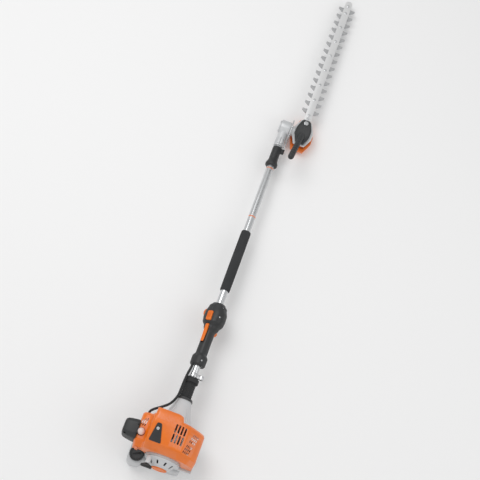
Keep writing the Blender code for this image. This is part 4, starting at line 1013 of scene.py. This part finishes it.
    def small(self) -> None:
        """The primer bulb."""
        dome = [(70, 0), (70, 11.5), (76, 11), (79, 10.0), (82, 7.0), (83.6, 3.5), (84, 0)]
        bulb = turned("primer_dome", dome, (-90, -14, 0), (0, 0, 1), 64, 2.0)
        self.settle(bulb, Look.BULB, "primer", "primer_rubber", "primer_bulb")

    def build(self) -> None:
        """Make every cover."""
        self.filter_cover()
        self.cap()
        self.starter()
        self.tank()
        self.small()


# Tube --------------------------------------------------------------------------------------

@dataclass
class TubeFittings(SubAssembly):
    """The clutch cone, the damper, the tube with its ticks, the grip, the eye and the cable's conduit.

    Args:
        radius: The tube's radius.
        bore: The tube's bore.
        start: Where the tube starts.
        end: Where it ends.
    """

    radius: float = 12.7
    bore: float = 11.2
    start: float = 100.0
    end: float = 1149.0

    def cone(self) -> None:
        """The clutch cone, with a flat-sided ridge along its top and screws at its neck."""
        profile = [(33, 34), (33, 62), (44, 62), (50, 60), (72, 46), (110, 33), (147, 23), (147, 12.9), (96, 12.9),
                   (96, 20), (76, 20), (64, 34)]
        cone = turned("clutch_housing_shell", profile, (0, 0, 0), (0, 1, 0), 96, 2.5, True)
        ridges = []
        for angle in (55.0, 125.0):
            web = prism("web", [(60, 34), (134, 22), (134, 25.4), (60, 55)], -1.6, 1.6, 1.0, "xy", 3)
            side = Matrix.Rotation(math.radians(-angle), 4, "Y") @ Matrix(((0, 1, 0, 0), (1, 0, 0, 0), (0, 0, -1, 0),
                                                                          (0, 0, 0, 1)))
            ridges.append(moved(web, side))
        fused(cone, *ridges)
        self.settle(bevelled(cone, 0.4), Look.GREY, "powerhead", "pale_grey_plastic", "clutch_housing")
        for k, angle in enumerate((62.0, 118.0)):
            turn = math.radians(angle)
            seat = (22.4 * math.cos(turn), 143.0, 22.4 * math.sin(turn))
            bolt = screw(f"clutch_screw_{k + 1}", *seat, 2.6, 2.2, (math.cos(turn), 0.3, math.sin(turn)))
            self.settle(bolt, Look.PLATED, "powerhead", "bright_steel")

    def damper(self) -> None:
        """The rubber damper: a ribbed sleeve whose rings are broken by flat lands, and a flange in front."""
        y = np.linspace(147.3, 217.0, 141)
        turn = np.linspace(0.0, FULL_TURN, 120, endpoint=False)
        ripple = 0.5 - 0.5 * np.cos(FULL_TURN * (y - 149.0) / 6.0)
        body = np.where((y > 149.0) & (y < 197.0), 18.3 + 1.2 * ripple, 19.5)
        flange = np.where((y > 200.0) & (y < 214.0), 24.0, body)
        outer = np.where(y > 215.5, 20.0, np.where(y < 148.0, 18.6, flange))
        flute = 0.55 * (0.5 + 0.5 * np.cos(16.0 * turn))
        calm = np.where((y > 149.0) & (y < 197.0), 1.0, 0.0)[:, None]
        radius = outer[:, None] - calm * flute[None, :]
        rows = np.stack([radius * np.cos(turn), np.broadcast_to(y[:, None], radius.shape),
                         radius * np.sin(turn)], axis=2)
        inner = np.stack([np.broadcast_to(12.9 * np.cos(turn), (2, 120)), np.array([[217.0], [147.3]]) * np.ones(120),
                          np.broadcast_to(12.9 * np.sin(turn), (2, 120))], axis=2)
        sleeve = grid("damper_rings", np.concatenate([rows, inner]), ring=True)
        self.settle(sleeve, Look.RUBBER, "powerhead", "rubber", "damper_sleeve")

    def tube(self) -> None:
        """The drawn tube, a thin orange line round it and a scale of dark ticks along it."""
        profile = [(self.start, self.bore), (self.start, self.radius), (self.end, self.radius), (self.end, self.bore)]
        tube = turned("shaft_tube_wall", profile, (0, 0, 0), (0, 1, 0), 96, 0.4, True)
        self.settle(tube, Look.TUBE, "powerhead", "bright_steel", "shaft_tube")
        marks = []
        for k in range(26):
            y, long = 836.0 + 7.0 * k, 9.0 if k % 5 == 0 else 5.0
            angle = np.radians(np.linspace(76.0 - long, 76.0 + long, 8))
            rim = [(self.radius + 0.04) * np.stack([np.cos(angle), np.sin(angle)], 1),
                   (self.radius + 0.16) * np.stack([np.cos(angle), np.sin(angle)], 1)[::-1]]
            line = np.vstack(rim)
            rows = np.stack([np.column_stack([line[:, 0], np.full(16, at), line[:, 1]]) for at in (y, y + 1.7)])
            marks.append(grid("tick", rows))
        self.settle(gathered("tube_ticks", marks), Look.DARK, "powerhead", "black_plastic")
        width = 3.0
        bands = [turned("band", [(at, 12.72), (at, 12.9), (at + width, 12.9), (at + width, 12.72)],
                        (0, 0, 0), (0, 1, 0), 64, 0.02, True) for at in (822.0, 1022.0)]
        self.settle(gathered("tube_bands", bands), Look.TRIM, "powerhead", "orange_plastic")

    def foam(self) -> None:
        """The foam grip: a soft sleeve, slightly fuller in the middle, with rolled ends."""
        profile = [(534, 13.0), (534, 15.0), (536, 16.2), (540, 16.8), (649, 17.1), (758, 16.8), (762, 16.2),
                   (764, 15.0), (764, 13.0)]
        grip = turned("foam_sleeve", profile, (0, 0, 0), (0, 1, 0), 96, 2.0, True)
        self.settle(grip, Look.FOAM, "powerhead", "foam", "foam_grip")

    def conduit(self) -> None:
        """The corrugated conduit: its radius ripples along the path from the handle to the engine."""
        route = [(-15, 259.5, 14), (-16, 243, 16), (-19, 222, 22), (-21, 200, 23), (-22, 170, 24), (-24, 140, 27),
                 (-36, 108, 40), (-56, 86, 50), (-76, 70, 54), (-86, 60, 53), (-89, 51, 50)]
        path = catmull_rom(route, 48)
        run = np.concatenate([[0.0], np.cumsum(np.linalg.norm(np.diff(path, axis=0), axis=1))])
        radii = 3.95 + 0.35 * np.cos(FULL_TURN * run / 3.2)
        hose = tube_along("conduit", path, radii, 20)
        self.settle(hose, Look.RUBBER, "powerhead", "rubber", "cable_conduit")

    def eye(self) -> None:
        """The hanging clamp: a band with a lug on its right and an eye in the lug."""
        outline = arc((0, 0), 15.5, 32.0, 328.0, 48)
        outline += arc((27, 0), 8.0, 230.0, 490.0, 24)
        band = prism("clamp", filleted(outline, 1.0, True, 2), 220.0, 234.0, 1.2, "xz", 4)
        carved(band, turned("clamp_bore", [(210, 0), (210, 12.9), (240, 12.9), (240, 0)],
                            (0, 0, 0), (0, 1, 0), 72, 0.1),
               turned("eye_bore", [(210, 0), (210, 4.5), (240, 4.5), (240, 0)], (27, 0, 0), (0, 1, 0), 40, 0.1))
        self.settle(bevelled(band, 0.4), Look.STEEL, "powerhead", "bright_steel", "hanging_eye")

    def build(self) -> None:
        """Make every fitting."""
        self.cone()
        self.damper()
        self.tube()
        self.foam()
        self.conduit()
        self.eye()


@dataclass
class ControlHandle(SubAssembly):
    """The two halves of the control handle, with the trigger, the lockout, the stop button and the dial.

    Args:
        roll: How far the handle is turned about the tube, in degrees.
        stations: Rows of y, half width, half height and the middle's height.
    """

    roll: float = -37.0
    stations: tuple[tuple[float, float, float, float], ...] = (
        (260.0, 21.0, 20.0, 0.0), (264.0, 24.5, 23.0, 0.0), (289.0, 25.0, 23.5, 0.0), (303.0, 17.8, 18.5, 0.0),
        (341.0, 17.4, 18.6, 0.0), (379.0, 17.5, 19.0, 0.0), (397.0, 24.0, 25.0, -2.0), (415.0, 35.0, 31.0, -2.0),
        (430.0, 37.5, 31.5, -1.5), (446.0, 37.0, 31.0, -1.0), (470.0, 30.0, 27.0, 0.0), (482.0, 21.0, 20.0, 0.0))

    def turn(self) -> Matrix:
        """Return the handle's turn about the tube."""
        return Matrix.Rotation(math.radians(self.roll), 4, "Y")

    def half(self, name: str, side: float) -> bpy.types.Object:
        """One half: the whole oval body, cut along the middle, with its bore, slots and a thin parting groove.

        Args:
            name: The object's name.
            side: -1 for the left half and 1 for the right.

        Returns:
            The half, turned into place.
        """
        table = smooth_stations(np.array(self.stations), 90)
        centres = np.column_stack([np.zeros(90), table[:, 0], table[:, 3]])
        body = grid(name, oval_rows(centres, table[:, 1], table[:, 2], 2.4, 96))
        away = rounded_box("away", (-60, 200, -60), (0.06, 520, 60), 1.0, 0.1)
        if side < 0:
            bpy.data.objects.remove(away)
            away = rounded_box("away", (-0.06, 200, -60), (60, 520, 60), 1.0, 0.1)
        bore = turned("bore", [(230, 0), (230, 12.9), (520, 12.9), (520, 0)], (0, 0, 0), (0, 1, 0), 64, 0.1)
        slots = [rounded_box("trigger_slot", (-5.6, 372, -60), (5.6, 420, -14), 1.5, 0.2),
                 rounded_box("lockout_slot", (-5.9, 336, 14), (5.9, 404, 60), 1.5, 0.2),
                 rounded_box("button_slot", (-10, 412, 20), (10, 446, 60), 3.0, 0.2)]
        carved(body, away, bore, *slots)
        carved(body, turned("dial_pocket", [(20, 0), (20, 15.6), (60, 15.6), (60, 0)],
                            (0, 448, 0), (-1, 0, 0), 48, 0.1))
        ribs = [rounded_box("grip_rib", (-30, 312 + 9 * k, -30), (30, 314 + 9 * k, -15.2), 0.6, 0.3) for k in range(6)]
        carved(body, gathered("grip_grooves", ribs))
        return bevelled(moved(body, self.turn()), 0.6)

    def controls(self) -> None:
        """The trigger and lockout levers, the sliding button with ribs, and the knurled dial."""
        pull = filleted([(376, -24), (379, -31), (386, -38), (392, -39), (398, -34), (404, -31), (413, -26), (417, -20),
                         (416, -16), (404, -17.5), (390, -20.5)], 3.0, True, 4)
        trigger = moved(prism("trigger_lever", pull, -5.0, 5.0, 1.8, "yz", 4), self.turn())
        self.settle(trigger, Look.TRIM, "trigger", "orange_plastic", "throttle_trigger")
        press = filleted([(339, 23), (341, 25.5), (360, 26), (396, 28), (402, 26), (402.5, 21), (396, 19), (345, 21.5)],
                         2.0, True, 4)
        lockout = moved(prism("lockout_bar", press, -5.5, 5.5, 1.6, "yz", 4), self.turn())
        self.settle(lockout, Look.TRIM, "lockout", "orange_plastic", "lockout_lever")
        button = rounded_box("stop_slider", (-9.5, 412.6, 25), (9.5, 445.4, 34), 4.0, 2.0)
        grooves = [rounded_box("groove", (-6, 419 + 5 * k, 33.0), (6, 421 + 5 * k, 40), 0.9, 0.2) for k in range(4)]
        carved(button, gathered("button_grooves", grooves))
        self.settle(bevelled(moved(button, self.turn()), 0.3), Look.TRIM, "stop_switch", "orange_plastic",
                    "stop_button")
        dial = turned("speed_knob", [(29.5, 0), (29.5, 15), (38, 15), (42, 12.5), (42, 4), (41, 0)], (0, 448, 0),
                      (-1, 0, 0), 72, 1.2)
        notches = []
        for k in range(18):
            angle = FULL_TURN * k / 18
            notches.append(turned("notch", [(30, 0), (30, 1.1), (45, 1.1), (45, 0)],
                                  (0, 448 + 15.2 * math.cos(angle), 15.2 * math.sin(angle)), (-1, 0, 0), 8, 0.1))
        carved(dial, gathered("dial_notches", notches))
        self.settle(moved(dial, self.turn()), Look.TRIM, "speed_wheel", "orange_plastic", "speed_dial")

    def build(self) -> None:
        """Make both halves and the controls."""
        self.settle(self.half("handle_left_shell", -1.0), Look.BLACK, "powerhead", "black_plastic", "handle_left")
        self.settle(self.half("handle_right_shell", 1.0), Look.BLACK, "powerhead", "black_plastic", "handle_right")
        self.controls()
        for k, (y, z) in enumerate(((276.0, 15.0), (430.0, 19.0), (466.0, 12.0))):
            width = float(np.interp(y, [row[0] for row in self.stations], [row[1] for row in self.stations]))
            bolt = moved(screw(f"handle_screw_{k + 1}", width * 0.86, y, z, 2.6, 1.6, (0.9, 0.0, 0.44)), self.turn())
            self.settle(bolt, Look.PLATED, "powerhead", "bright_steel")


# Cutter ------------------------------------------------------------------------------------

def head_outline(half: float, rear: float, front: float) -> Array:
    """The gearbox's outline: eight corners round the cutter's middle, widest beside the pivot."""
    shoulder = 0.55 * half
    points = [(66 + shoulder, front), (66 + half, 1212), (66 + half, 1186), (66 + shoulder, rear),
              (66 - shoulder, rear), (66 - half, 1186), (66 - half, 1212), (66 - shoulder, front)]
    return filleted(points, 7.0, True, 5)


@dataclass
class GearHead(SubAssembly):
    """The angle housing on the tube, the tilt lock, and the cutter's gear cover and swivel handle.

    Args:
        pivot: Where the tilt axis crosses the tube's axis.
    """

    pivot: float = 1200.0

    def angle_housing(self) -> None:
        """The casting on the tube's end: a drum across the tube and a clamp collar with its bolt."""
        profile = [(-16, 0), (-16, 27), (19, 27), (19, 14.4), (0, 14.4), (0, 0)]
        drum = turned("angle_housing_shell", profile, (0, self.pivot, 0), (1, 0, 0), 96, 2.0)
        collar = turned("collar", [(1119, 0), (1119, 17.5), (1150, 17.0), (1182, 15.5), (1190, 15.5), (1190, 0)],
                        (0, 0, 0), (0, 1, 0), 96, 1.5)
        ear = rounded_box("ear", (-9, 1124, 10), (9, 1146, 21), 3.0, 2.0)
        fused(drum, collar, ear)
        split = rounded_box("split", (-0.9, 1100, 5), (0.9, 1150, 30), 0.4, 0.1)
        bore = turned("bore", [(1100, 0), (1100, 12.9), (1149.5, 12.9), (1149.5, 0)], (0, 0, 0), (0, 1, 0), 72, 0.1)
        room = turned("room", [(1149, 0), (1149, 9.0), (1200, 9.0), (1200, 0)], (0, 0, 0), (0, 1, 0), 48, 0.1)
        carved(drum, split, bore, room)
        self.settle(bevelled(drum, 0.6), Look.CASTING, "powerhead", "cast_aluminium", "angle_housing")
        bolt = screw("collar_bolt", 9.0, 1135.0, 16.0, 3.6, 3.4, (1, 0, 0))
        self.settle(bolt, Look.PLATED, "powerhead", "bright_steel")
        cap = turned("pivot_plate", [(16.3, 0), (16.3, 23), (19.6, 23), (20.5, 21), (20.5, 9), (19.7, 8), (19.7, 0)],
                     (0, self.pivot, 0), (-1, 0, 0), 72, 0.6)
        self.settle(cap, Look.CASTING, "powerhead", "cast_aluminium", "pivot_cap")
        for k in range(4):
            turn = math.radians(45.0 + 90.0 * k)
            seat = (-20.4, self.pivot + 16.0 * math.cos(turn), 16.0 * math.sin(turn))
            self.settle(screw(f"pivot_screw_{k + 1}", *seat, 2.6, 1.4, (-1, 0, 0)), Look.PLATED, "powerhead",
                        "bright_steel")

    def sleeve(self) -> None:
        """The black sleeve that works the tilt lock: grip rings, a flared rear rim and a tab over the pin."""
        y = np.linspace(1035.0, 1113.5, 120)
        turn = np.linspace(0.0, FULL_TURN, 96, endpoint=False)
        flare = np.interp(y, [1035, 1037, 1040, 1046, 1052, 1060, 1112, 1113.5],
                          [19.0, 21.0, 21.5, 21.3, 18.5, 16.4, 16.0, 15.0])
        rings = np.where((y > 1062) & (y < 1092), 0.55 * (0.5 - 0.5 * np.cos(FULL_TURN * (y - 1062) / 6.0)), 0.0)
        radius = (flare - rings)[:, None] * np.ones(96)
        rows = np.stack([radius * np.cos(turn), y[:, None] * np.ones(96), radius * np.sin(turn)], axis=2)
        inner = np.stack([np.broadcast_to(12.9 * np.cos(turn), (2, 96)), np.array([[1113.5], [1035.0]]) * np.ones(96),
                          np.broadcast_to(12.9 * np.sin(turn), (2, 96))], axis=2)
        sleeve = grid("lock_sleeve_body", np.concatenate([rows, inner]), ring=True)
        tab = rounded_box("tab", (13.8, 1096, -5), (27, 1113.5, 5), 1.8, 1.6)
        fused(sleeve, tab)
        hole = turned("pin_hole", [(1105.9, 0), (1105.9, 2.75), (1120, 2.75), (1120, 0)], (22.5, 0, 0),
                      (0, 1, 0), 24, 0.1)
        self.settle(carved(sleeve, hole), Look.BLACK, "tilt_lock", "black_plastic", "lock_sleeve")
        pin = turned("lock_bolt", [(1106, 0), (1106, 2.6), (1160.4, 2.6), (1161, 2.0), (1161, 0)],
                     (22.5, 0, 0), (0, 1, 0), 32, 0.4)
        self.settle(pin, Look.STEEL, "tilt_lock", "bright_steel", "lock_pin")

    def gearbox(self) -> None:
        """The cover plate over the blades' cranks, hollow underneath, and its nut."""
        cover = prism("gear_cover_plate", head_outline(27.5, 1152, 1247), 11.8, 25.0, 3.2, "xy", 5)
        groove = prism("cover_groove", head_outline(21.5, 1164, 1238), 24.2, 30.0, 0.3)
        land = prism("cover_land", head_outline(20.0, 1166, 1236), 20.0, 31.0, 0.3)
        carved(groove, land)
        stadium = arc((66, 1207), 23.6, 0, 180, 16) + arc((66, 1193), 23.6, 180, 360, 16)
        room = prism("cover_room", filleted(stadium, 0.1, True, 1), 5.0, 19.0, 0.1)
        neck = rounded_box("cover_neck", (54, 1200, 5), (78, 1260, 19), 0.6, 0.1)
        under = rounded_box("cover_under", (52.5, 1240, 5), (79.5, 1260, 22.4), 0.6, 0.1)
        carved(cover, groove)
        carved(cover, room, neck, under)
        self.settle(bevelled(cover, 0.5), Look.BLACK, "cutter_head", "black_plastic", "gear_cover")
        hexagon = [(66 + 9.0 * math.cos(k * math.pi / 3), 1232 + 9.0 * math.sin(k * math.pi / 3)) for k in range(6)]
        nut = prism("cover_hex_nut", hexagon, 25.3, 30.0, 0.5)
        fused(nut, turned("nut_crown", [(27, 0), (27, 5.6), (31.4, 5.6), (32, 5.0), (32, 0)], (66, 1232, 0),
                          (0, 0, 1), 40, 0.4))
        self.settle(bevelled(nut, 0.3), Look.PLATED, "cutter_head", "bright_steel", "cover_nut")

    def handle(self) -> None:
        """The swivel handle: a foot and a ribbed grip that leans back over the tube's side."""
        axis = np.array([-0.10, -0.96, 0.26])
        axis = axis / np.linalg.norm(axis)
        run = np.linspace(0.0, 132.0, 160)
        base = np.interp(run, [0, 6, 16, 30, 110, 124, 130, 132], [6.0, 8.6, 10.0, 10.0, 11.0, 10.6, 8.0, 4.5])
        ribs = np.where((run > 34) & (run < 118), 0.8 * (0.5 - 0.5 * np.cos(FULL_TURN * (run - 34) / 12.0)), 0.0)
        path = np.array([66.0, 1180.0, 36.0]) + run[:, None] * axis
        grip = tube_along("swivel_grip", path, base - ribs, 64)
        foot = rounded_box("foot", (57, 1160, 25.3), (73, 1186, 38), 4.0, 3.0)
        self.settle(fused(grip, foot), Look.BLACK, "cutter_head", "black_plastic", "swivel_handle")

    def build(self) -> None:
        """Make every piece of the head."""
        self.angle_housing()
        self.sleeve()
        self.gearbox()
        self.handle()


@dataclass
class CutterBar(SubAssembly):
    """The bar that holds the two toothed blades flat against each other, and its screws.

    Args:
        low: Where the bar's underside is.
        top: Where its upper side is, which the screws stand on.
        half: Half the bar's width.
        middle: Where the bar's centre line is.
    """

    low: float = 19.2
    top: float = 22.0
    half: float = 13.0
    middle: float = 66.0

    def bar(self) -> None:
        """The guide bar, its edges broken, with a round nose and the row of blade screws."""
        outline = arc((self.middle, 1794), self.half, 0, 180, 18)
        outline += [(self.middle - self.half, 1249), (self.middle + self.half, 1249)]
        bar = prism("guide_bar_strip", outline, self.low, self.top, 0.5)
        self.settle(bevelled(bar, 0.2), Look.BAR, "cutter_head", "bright_steel", "guide_bar")
        for k, y in enumerate((1256, 1271, 1341, 1409, 1477, 1545, 1613, 1681, 1749, 1783)):
            head = screw(f"blade_screw_{k + 1}", self.middle, float(y), self.top, 5.2, 2.4, (0, 0, 1))
            self.settle(head, Look.PLATED, "cutter_head", "bright_steel")

    def build(self) -> None:
        """Make the bar; the blades keep their modelled shape, with a ground-steel finish."""
        self.bar()


NODE_LOOKS: dict[str, Look] = {"drive_shaft": Look.STEEL, "hood_screw": Look.PLATED, "shaft_tube": Look.TUBE,
                               "guide_bar": Look.BAR}
ASSEMBLIES: tuple[type[SubAssembly], ...] = (EngineHood, EngineCovers, TubeFittings, ControlHandle,
                                             GearHead, CutterBar)


# The studio --------------------------------------------------------------------------------

@dataclass(frozen=True)
class Studio:
    """A pale floor, soft light and the camera.

    Args:
        tilt: The angle between the view and the tube, in degrees.
        roll: How far the camera leans, in degrees.
        target: The point of the tube, in millimetres, that the camera is placed from.
        distance: How far back from the target the camera stands, in metres.
        across: The camera's step to its left, before the lean, in metres.
        down: The camera's step down, before the lean, in metres.
        lens: The focal length in millimetres.
    """

    tilt: float = 68.7
    roll: float = 20.35
    target: float = 1290.0
    distance: float = 3.727
    across: float = 0.011
    down: float = 0.5125
    lens: float = 77.4

    def camera(self) -> bpy.types.Object:
        """Make the camera: its axes are worked out from the tilt and the lean."""
        angle = math.radians(self.tilt)
        ahead = Vector((0.0, math.cos(angle), -math.sin(angle)))
        right = Vector((1.0, 0.0, 0.0))
        up = Vector((0.0, math.sin(angle), math.cos(angle)))
        lean = math.radians(self.roll)
        place = TOOL.point(0.0, self.target, 0.0) - ahead * self.distance - right * self.across - up * self.down
        level = right * math.cos(lean) + up * math.sin(lean)
        upright = up * math.cos(lean) - right * math.sin(lean)
        axes = Matrix((level, upright, -ahead)).transposed().to_4x4()
        data = bpy.data.cameras.new("camera")
        data.lens = self.lens
        data.sensor_width = 36.0
        data.clip_end = 60.0
        camera = bpy.data.objects.new("camera", data)
        camera.matrix_world = Matrix.Translation(place) @ axes
        bpy.context.scene.collection.objects.link(camera)
        bpy.context.scene.camera = camera
        return camera

    def floor(self) -> None:
        """Lay a wide pale floor under the tool."""
        mesh = bpy.data.meshes.new("floor")
        half = 14.0
        mesh.from_pydata([(-half, -half, 0), (half, -half, 0), (half, half, 0), (-half, half, 0)], [], [(0, 1, 2, 3)])
        floor = bpy.data.objects.new("floor", mesh)
        bpy.context.scene.collection.objects.link(floor)
        paint = bpy.data.materials.new("floor_paint")
        paint.use_nodes = True
        shader = paint.node_tree.nodes["Principled BSDF"]
        shader.inputs["Base Color"].default_value = (0.90, 0.90, 0.90, 1.0)
        shader.inputs["Roughness"].default_value = 0.85
        shader.inputs["Specular IOR Level"].default_value = 0.1
        mesh.materials.append(paint)

    def lights(self) -> None:
        """Hang soft lamps above, to the left and in front, in a white room."""
        lamps = {"key": ((-1.6, 1.6, 3.4), 52.0, 2.2), "fill": ((2.4, 0.2, 2.6), 16.0, 2.4),
                 "front": ((-0.4, -2.6, 2.2), 12.0, 2.2)}
        for name, (place, power, size) in lamps.items():
            data = bpy.data.lights.new(name, "AREA")
            data.energy = power
            data.size = size
            lamp = bpy.data.objects.new(name, data)
            aim = Vector((0.0, 0.6, 0.1)) - Vector(place)
            lamp.matrix_world = Matrix.Translation(place) @ aim.to_track_quat("-Z", "Y").to_matrix().to_4x4()
            bpy.context.scene.collection.objects.link(lamp)
        world = bpy.data.worlds.new("room")
        world.use_nodes = True
        world.node_tree.nodes["Background"].inputs["Color"].default_value = (1.0, 1.0, 1.0, 1.0)
        world.node_tree.nodes["Background"].inputs["Strength"].default_value = 0.58
        bpy.context.scene.world = world
        bpy.context.scene.view_settings.view_transform = "Standard"


def dress_frame_nodes() -> None:
    """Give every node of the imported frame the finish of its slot."""
    for name, node in frame["nodes"].items():
        for slot in node.material_slots:
            label = slot.material.name.split(".")[0] if slot.material else ""
            look = NODE_LOOKS.get(name, SLOT_LOOKS.get(label, Look.BLACK))
            slot.material = look.value.material()


def main() -> None:
    """Build the studio, the finishes and every sub-assembly, and note the sizes."""
    logging.basicConfig(level=logging.INFO, format="%(message)s")
    studio = Studio()
    studio.camera()
    studio.floor()
    studio.lights()
    for group in (grain_group, wear_group, edge_group):
        group()
    dress_frame_nodes()
    for kind in ASSEMBLIES:
        part = kind()
        part.build()
        for piece in part.made:
            LOG.info("%s: %s, %d faces", kind.__name__, piece.name, len(piece.data.polygons))


if __name__ == "__main__":
    main()
